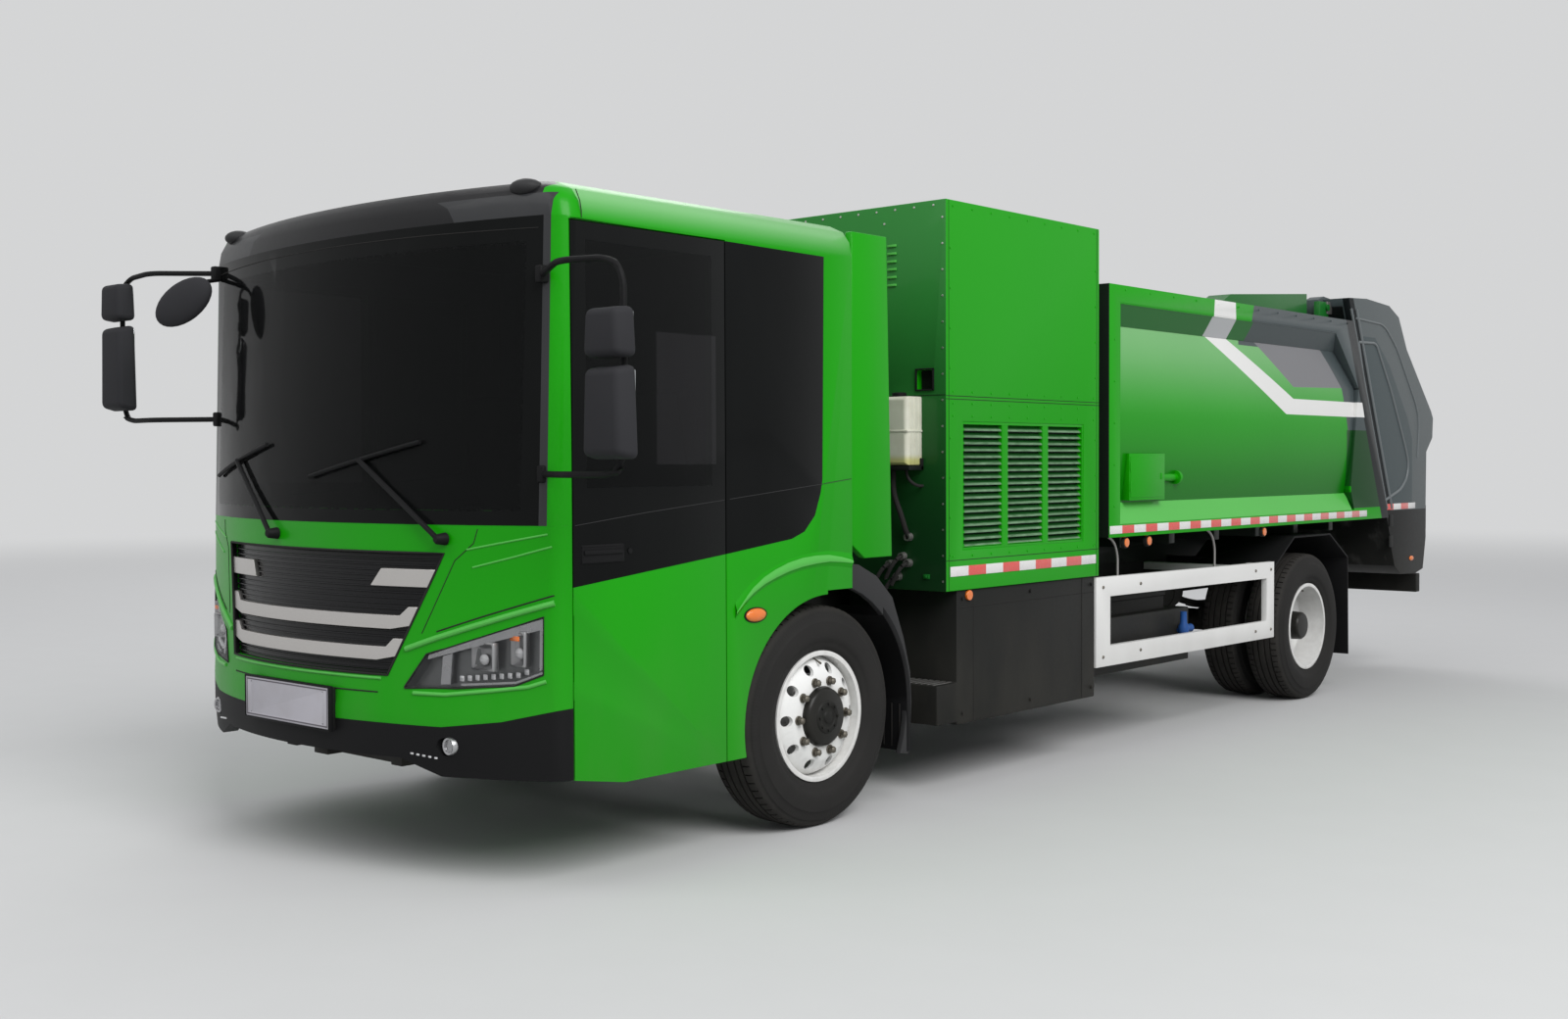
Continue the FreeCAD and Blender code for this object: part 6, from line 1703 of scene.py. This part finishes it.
class TRUCK_OT_chassis(bpy.types.Operator):
    """Frame, axles, springs, motor, skirts, guards, mudguards and what hangs on the frame"""
    bl_idname = "truck.chassis"
    bl_label = "Chassis"

    def execute(self, context):
        dressed("chassis_frame", "frame_rails", "black", 0.003)
        dressed("underrun_bar", "rear_underrun_bar", "black", 0.006)
        dressed("front_axle", "front_axle_beam", "black", 0.006)
        dressed("rear_axle", "rear_axle_casing", "black", 0.004)
        dressed("leaf_springs", "spring_leaves", "black", 0.002)
        dressed("knuckle_left", "steering_knuckle_left", "black", 0.003)
        dressed("knuckle_right", "steering_knuckle_right", "black", 0.003)
        dressed("tie_rod", "track_rod", "black", 0.003)
        dressed("drive_motor", "motor_casing", "pale_grey", 0.005)
        dressed("skirt_boxes", "side_boxes", "black", 0.006)
        dressed("mudguards", "mudguard_shells", "plastic", 0.003)
        dressed("side_guards", "side_guard_frames", "white", 0.006, segments=3)
        self.skirts()
        self.guards()
        self.under_body()
        return {"FINISHED"}

    def skirts(self):
        """Joints, bolts and the step treads of the side boxes."""
        joints = [pipe("skirt_joint", [(SKIRT_SIDE, y, 352), (SKIRT_SIDE, y, 1024)], 0.002) for y in (1180, 2240)]
        joints.append(pipe("skirt_joint", [(SKIRT_SIDE, 1042, 940), (SKIRT_SIDE, 2372, 940)], 0.002))
        on_both_sides("skirt_joints", joints, "rubber", "chassis")
        bolt = lathe("skirt_bolts", [(0, 0.0), (0, 0.011), (0.003, 0.011), (0.003, 0.008), (0.008, 0.007),
                                     (0.008, 0.0)], (SKIRT_SIDE, 0, 0), steps=6)
        places = [(0, y, z) for y in (1080, 1710, 2340) for z in (400, 985)]
        finish(both_sides(repeated(bolt, places)), "black", "chassis")
        treads = [bar("step_tread", (x, 872, 560), (x + 20, 1030, 564), 0.0015) for x in range(910, 1215, 38)]
        on_both_sides("step_treads", treads, "bare_steel", "chassis")

    def guards(self):
        """Flares of the front mudguards, bolts of the side guards and ribs of the flaps."""
        turns = [math.radians(angle) for angle in range(-24, 74, 8)]
        arch = [(ARCH_RADIUS * math.cos(turn), ARCH_Z + ARCH_RADIUS * math.sin(turn)) for turn in turns]
        flare = plate("front_flares", [(1236, y, z) for y, z in FLARE_EDGE + arch], (0.032, 0, 0), 0.005, 3)
        finish(both_sides(flare), "grey_plastic", "chassis")
        bolt = lathe("guard_bolts", [(0, 0.0), (0, 0.010), (0.002, 0.010), (0.006, 0.007), (0.006, 0.0)],
                     (1270, 0, 0), steps=12)
        places = [(0, 2460, 560), (0, 2460, 960), (0, 2890, 958), (0, 2890, 565),
                  (0, 4420, 952), (0, 4420, 550), (0, 4650, 548), (0, 4650, 950)]
        finish(both_sides(repeated(bolt, places)), "nut", "chassis")
        ribs = [bar("flap_rib", (x, 600, 290), (x + 6, 605, 500), 0.001) for x in range(1030, 1223, 48)]
        on_both_sides("flap_ribs", ribs, "rubber", "chassis")

    def under_body(self):
        """Air tanks, battery boxes, the blue valve and the lines along the frame."""
        middle = (560, 4250, 780)
        tanks = [lathe("air_tank", [(-0.36, 0.0), (-0.35, 0.07), (-0.32, 0.105), (-0.30, 0.115), (0.30, 0.115),
                                    (0.32, 0.105), (0.35, 0.07), (0.36, 0.0)], middle, "Y", 32)]
        tanks += [lathe("tank_strap", [(way, 0.114), (way, 0.121), (way + 0.03, 0.121), (way + 0.03, 0.114)],
                        middle, "Y", 32) for way in (-0.2, 0.17)]
        tanks += [bar("tank_hanger", (425, y, 740), (470, y + 60, 860), 0.006) for y in (4040, 4410)]
        on_both_sides("air_tanks", tanks, "black", "chassis")
        boxes = [bar("battery_box", (700, 2805, 560), (1080, 3530, 850), 0.012, 3),
                 bar("battery_lid", (694, 2799, 835), (1086, 3536, 875), 0.010, 3)]
        boxes += [bar("battery_foot", (425, y, 780), (705, y + 50, 850), 0.004) for y in (2850, 3430)]
        on_both_sides("battery_boxes", boxes, "black", "chassis")
        valve = [lathe("valve", [(-0.07, 0.0), (-0.07, 0.022), (-0.03, 0.033), (0.01, 0.033), (0.03, 0.022),
                                 (0.10, 0.020), (0.10, 0.0)], (1198, 3560, 640), "Z", 24),
                 lathe("valve", [(-0.05, 0.0), (-0.05, 0.020), (0.05, 0.026), (0.06, 0.0)], (1198, 3600, 632),
                       "Y", 24),
                 bar("valve_arm", (1158, 3545, 610), (1190, 3575, 632), 0.004)]
        in_the_middle("blue_valve", valve, "blue", "chassis")
        lines = [pipe("frame_line", [(x, 500, z), (x, 2400, z), (x, 3400, z - 10), (x, 4600, z)], radius, 0.1)
                 for x, z, radius in ((330, 930, 0.012), (345, 900, 0.009), (318, 900, 0.009))]
        on_both_sides("frame_lines", lines, "rubber", "chassis")


# Cabin

def crowned(name, low, high, crown, fold=0.035):
    """A cushion: a closed form that is crowned above and pulls in between its corners."""
    low, high = placed(low), placed(high)
    cushion = bar(name, low, high, 0)
    with Editing(cushion) as edit:
        edit.everything()
        bpy.ops.mesh.subdivide(number_cuts=9, smoothness=0)
    middle, half = (low + high) / 2, (high - low) / 2
    pull = fold * 0.4
    for vertex in cushion.data.vertices:
        u, v, w = ((vertex.co - middle)[axis] / half[axis] for axis in range(3))
        vertex.co.z += crown * (1 - u * u) * (1 - v * v) * max(w, 0)
        if abs(u) > 0.99:
            vertex.co.x -= math.copysign(pull * (1 - v * v) * (1 - w * w), u)
        if abs(v) > 0.99:
            vertex.co.y -= math.copysign(pull * (1 - u * u) * (1 - w * w), v)
    rounded(cushion, fold, 4, 50)
    return modify(cushion, "SUBSURF", levels=1, render_levels=1)


class TRUCK_OT_cabin(bpy.types.Operator):
    """Seats, steering wheel, dashboard and instrument hood"""
    bl_idname = "truck.cabin"
    bl_label = "Cabin"

    def execute(self, context):
        dressed("dashboard", "dashboard_moulding", "soft_plastic", 0.012, segments=3)
        dressed("steering_wheel", "steering_rim", "soft_plastic", 0.002)
        lean = (Matrix.Translation(at(0, -248, 1400)) @ Matrix.Rotation(math.radians(102), 4, "X")
                @ Matrix.Translation(-at(0, -740, 0)))
        seats, bases = [], []
        for x in (-560, 560):
            seats.append(crowned("seat_cushion", (x - 240, -740, 1302), (x + 240, -232, 1408), 0.022))
            back = crowned("seat_back", (x - 228, -740, 0), (x + 228, -100, 110), 0.018)
            set_at(back, lean)
            seats.append(back)
            bases.append(bar("seat_base", (x - 180, -600, 1187), (x + 180, -260, 1302), 0.012, 3))
            bases.append(bar("seat_rail", (x - 236, -640, 1280), (x + 236, -250, 1304), 0.008, 3))
        cloth = joined("seat_cushions", seats)
        finish(cloth, "cloth", "cab", ("seats",), 60)
        in_the_middle("seat_bases", bases, "soft_plastic", "cab")
        hood = [bar("binnacle", (400, -1560, 1400), (720, -1425, 1470), 0.02, 4),
                bar("centre_screen", (60, -1520, 1395), (300, -1480, 1540), 0.01, 3)]
        in_the_middle("instrument_hood", hood, "soft_plastic", "cab")
        return {"FINISHED"}


# Stage

BACKDROP = (0.66, 0.665, 0.67)
FLOOR_LIT = (0.42, 0.42, 0.42)
FLOOR_SEEN = (0.60, 0.60, 0.60)
CAMERA_SPOT = Vector((6.070, -8.5845, 1.682))
CAMERA_HEADING = 41.3585
CAMERA_DOWN = 1.6523
CAMERA_ROLL = -0.2303


def lamp(name, size, energy, spot, target):
    """A soft area light that faces its target."""
    bpy.ops.object.light_add(type="AREA", location=spot)
    light = bpy.context.object
    light.name = name
    light.data.shape = "RECTANGLE"
    light.data.size, light.data.size_y = size
    light.data.energy = energy
    light.rotation_euler = (Vector(target) - Vector(spot)).to_track_quat("-Z", "Y").to_euler()
    return light


def seen_rays(tree):
    """The socket that is 1 for camera, glossy and transmission rays, which show the backdrop itself."""
    path = tree.nodes.new("ShaderNodeLightPath")
    total = path.outputs["Is Camera Ray"]
    for kind in ("Is Glossy Ray", "Is Transmission Ray"):
        add = tree.nodes.new("ShaderNodeMath")
        add.operation = "MAXIMUM"
        tree.links.new(total, add.inputs[0])
        tree.links.new(path.outputs[kind], add.inputs[1])
        total = add.outputs[0]
    return total


def pale_floor():
    """The floor takes the truck's soft shadow and fades into the backdrop far away."""
    shader = Shader("pale_floor")
    x, y, z = shader.place()
    speckle = shader.noise(3, 4)
    seen = Value(shader, seen_rays(shader.tree))
    tone = shader.shade(shader.mix(seen, FLOOR_LIT, FLOOR_SEEN), 0.985 + 0.03 * speckle)
    material = shader.surface(base_color=tone, roughness=0.9, specular=0.05)
    far = (x * x + y * y).root().rise(9, 34)
    out = shader.tree.get_output_node("ALL")
    near = out.inputs["Surface"].links[0].from_socket
    glow = shader.tree.nodes.new("ShaderNodeEmission")
    glow.inputs["Color"].default_value = (*BACKDROP, 1)
    fade = shader.tree.nodes.new("ShaderNodeMixShader")
    shader.tree.links.new(far.socket, fade.inputs[0])
    shader.tree.links.new(near, fade.inputs[1])
    shader.tree.links.new(glow.outputs[0], fade.inputs[2])
    shader.tree.links.new(fade.outputs[0], out.inputs["Surface"])
    return material


def world_light():
    """A plain sky with a pale backdrop."""
    world = bpy.data.worlds.new("plain_sky")
    bpy.context.scene.world = world
    world.use_nodes = True
    tree = world.node_tree
    tree.nodes.clear()
    sky = tree.nodes.new("ShaderNodeBackground")
    sky.inputs["Color"].default_value = (0.95, 0.97, 1.0, 1)
    sky.inputs["Strength"].default_value = 0.5
    seen = tree.nodes.new("ShaderNodeBackground")
    seen.inputs["Color"].default_value = (*BACKDROP, 1)
    mix = tree.nodes.new("ShaderNodeMixShader")
    out = tree.nodes.new("ShaderNodeOutputWorld")
    tree.links.new(seen_rays(tree), mix.inputs[0])
    tree.links.new(sky.outputs[0], mix.inputs[1])
    tree.links.new(seen.outputs[0], mix.inputs[2])
    tree.links.new(mix.outputs[0], out.inputs["Surface"])


class TRUCK_OT_stage(bpy.types.Operator):
    """Pale floor, plain sky, soft lights and the camera"""
    bl_idname = "truck.stage"
    bl_label = "Stage"

    def execute(self, context):
        stage = context.scene.truck_stage
        floor = start("plane", "floor", size=stage.floor_size)
        floor.data.materials.append(pale_floor())
        key = lamp("key_light", (14, 14), 4500, (18, -8, 16), (0, -1, 1))
        fill = lamp("fill_light", (12, 12), 700, (-4, -16, 16), (0, 0, 1))
        back = lamp("back_light", (12, 12), 900, (-14, 8, 14), (0, 0, 1))
        world_light()
        bpy.ops.object.camera_add(location=CAMERA_SPOT)
        camera = context.object
        camera.name = "view_camera"
        camera.data.sensor_width = 36
        camera.data.lens = stage.lens
        camera.matrix_world = (Matrix.Translation(CAMERA_SPOT)
                               @ Matrix.Rotation(math.radians(CAMERA_HEADING), 4, "Z")
                               @ Matrix.Rotation(math.radians(90 - CAMERA_DOWN), 4, "X")
                               @ Matrix.Rotation(math.radians(CAMERA_ROLL), 4, "Z"))
        context.scene.camera = camera
        context.scene.view_settings.view_transform = "Standard"
        return {"FINISHED"}


# Panel and registration

class TRUCK_PT_panel(bpy.types.Panel):
    """The truck's settings and steps"""
    bl_idname = "TRUCK_PT_panel"
    bl_label = "Garbage truck"
    bl_space_type = "VIEW_3D"
    bl_region_type = "UI"
    bl_category = "Truck"

    def draw(self, context):
        column = self.layout.column()
        for group in (context.scene.truck_paint, context.scene.truck_wheels, context.scene.truck_stage):
            for key in group.__annotations__:
                column.prop(group, key)
            column.separator()
        for step in STEPS:
            column.operator(step.bl_idname)


STEPS = (TRUCK_OT_tyres, TRUCK_OT_wheels, TRUCK_OT_cab_panels, TRUCK_OT_cab_fittings, TRUCK_OT_headlamps,
         TRUCK_OT_grille, TRUCK_OT_glazing, TRUCK_OT_power_cabinet, TRUCK_OT_refuse_body, TRUCK_OT_tailgate,
         TRUCK_OT_chassis, TRUCK_OT_cabin, TRUCK_OT_stage)
CLASSES = (PaintSettings, WheelSettings, StageSettings) + STEPS + (TRUCK_PT_panel,)


def register():
    for kind in CLASSES:
        bpy.utils.register_class(kind)
    bpy.types.Scene.truck_paint = PointerProperty(type=PaintSettings)
    bpy.types.Scene.truck_wheels = PointerProperty(type=WheelSettings)
    bpy.types.Scene.truck_stage = PointerProperty(type=StageSettings)


def unregister():
    del bpy.types.Scene.truck_stage
    del bpy.types.Scene.truck_wheels
    del bpy.types.Scene.truck_paint
    for kind in reversed(CLASSES):
        bpy.utils.unregister_class(kind)


def main():
    """Registers the add-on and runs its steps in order."""
    register()
    make_materials()
    for step in STEPS:
        area, name = step.bl_idname.split(".")
        getattr(getattr(bpy.ops, area), name)()


if __name__ == "__main__":
    main()
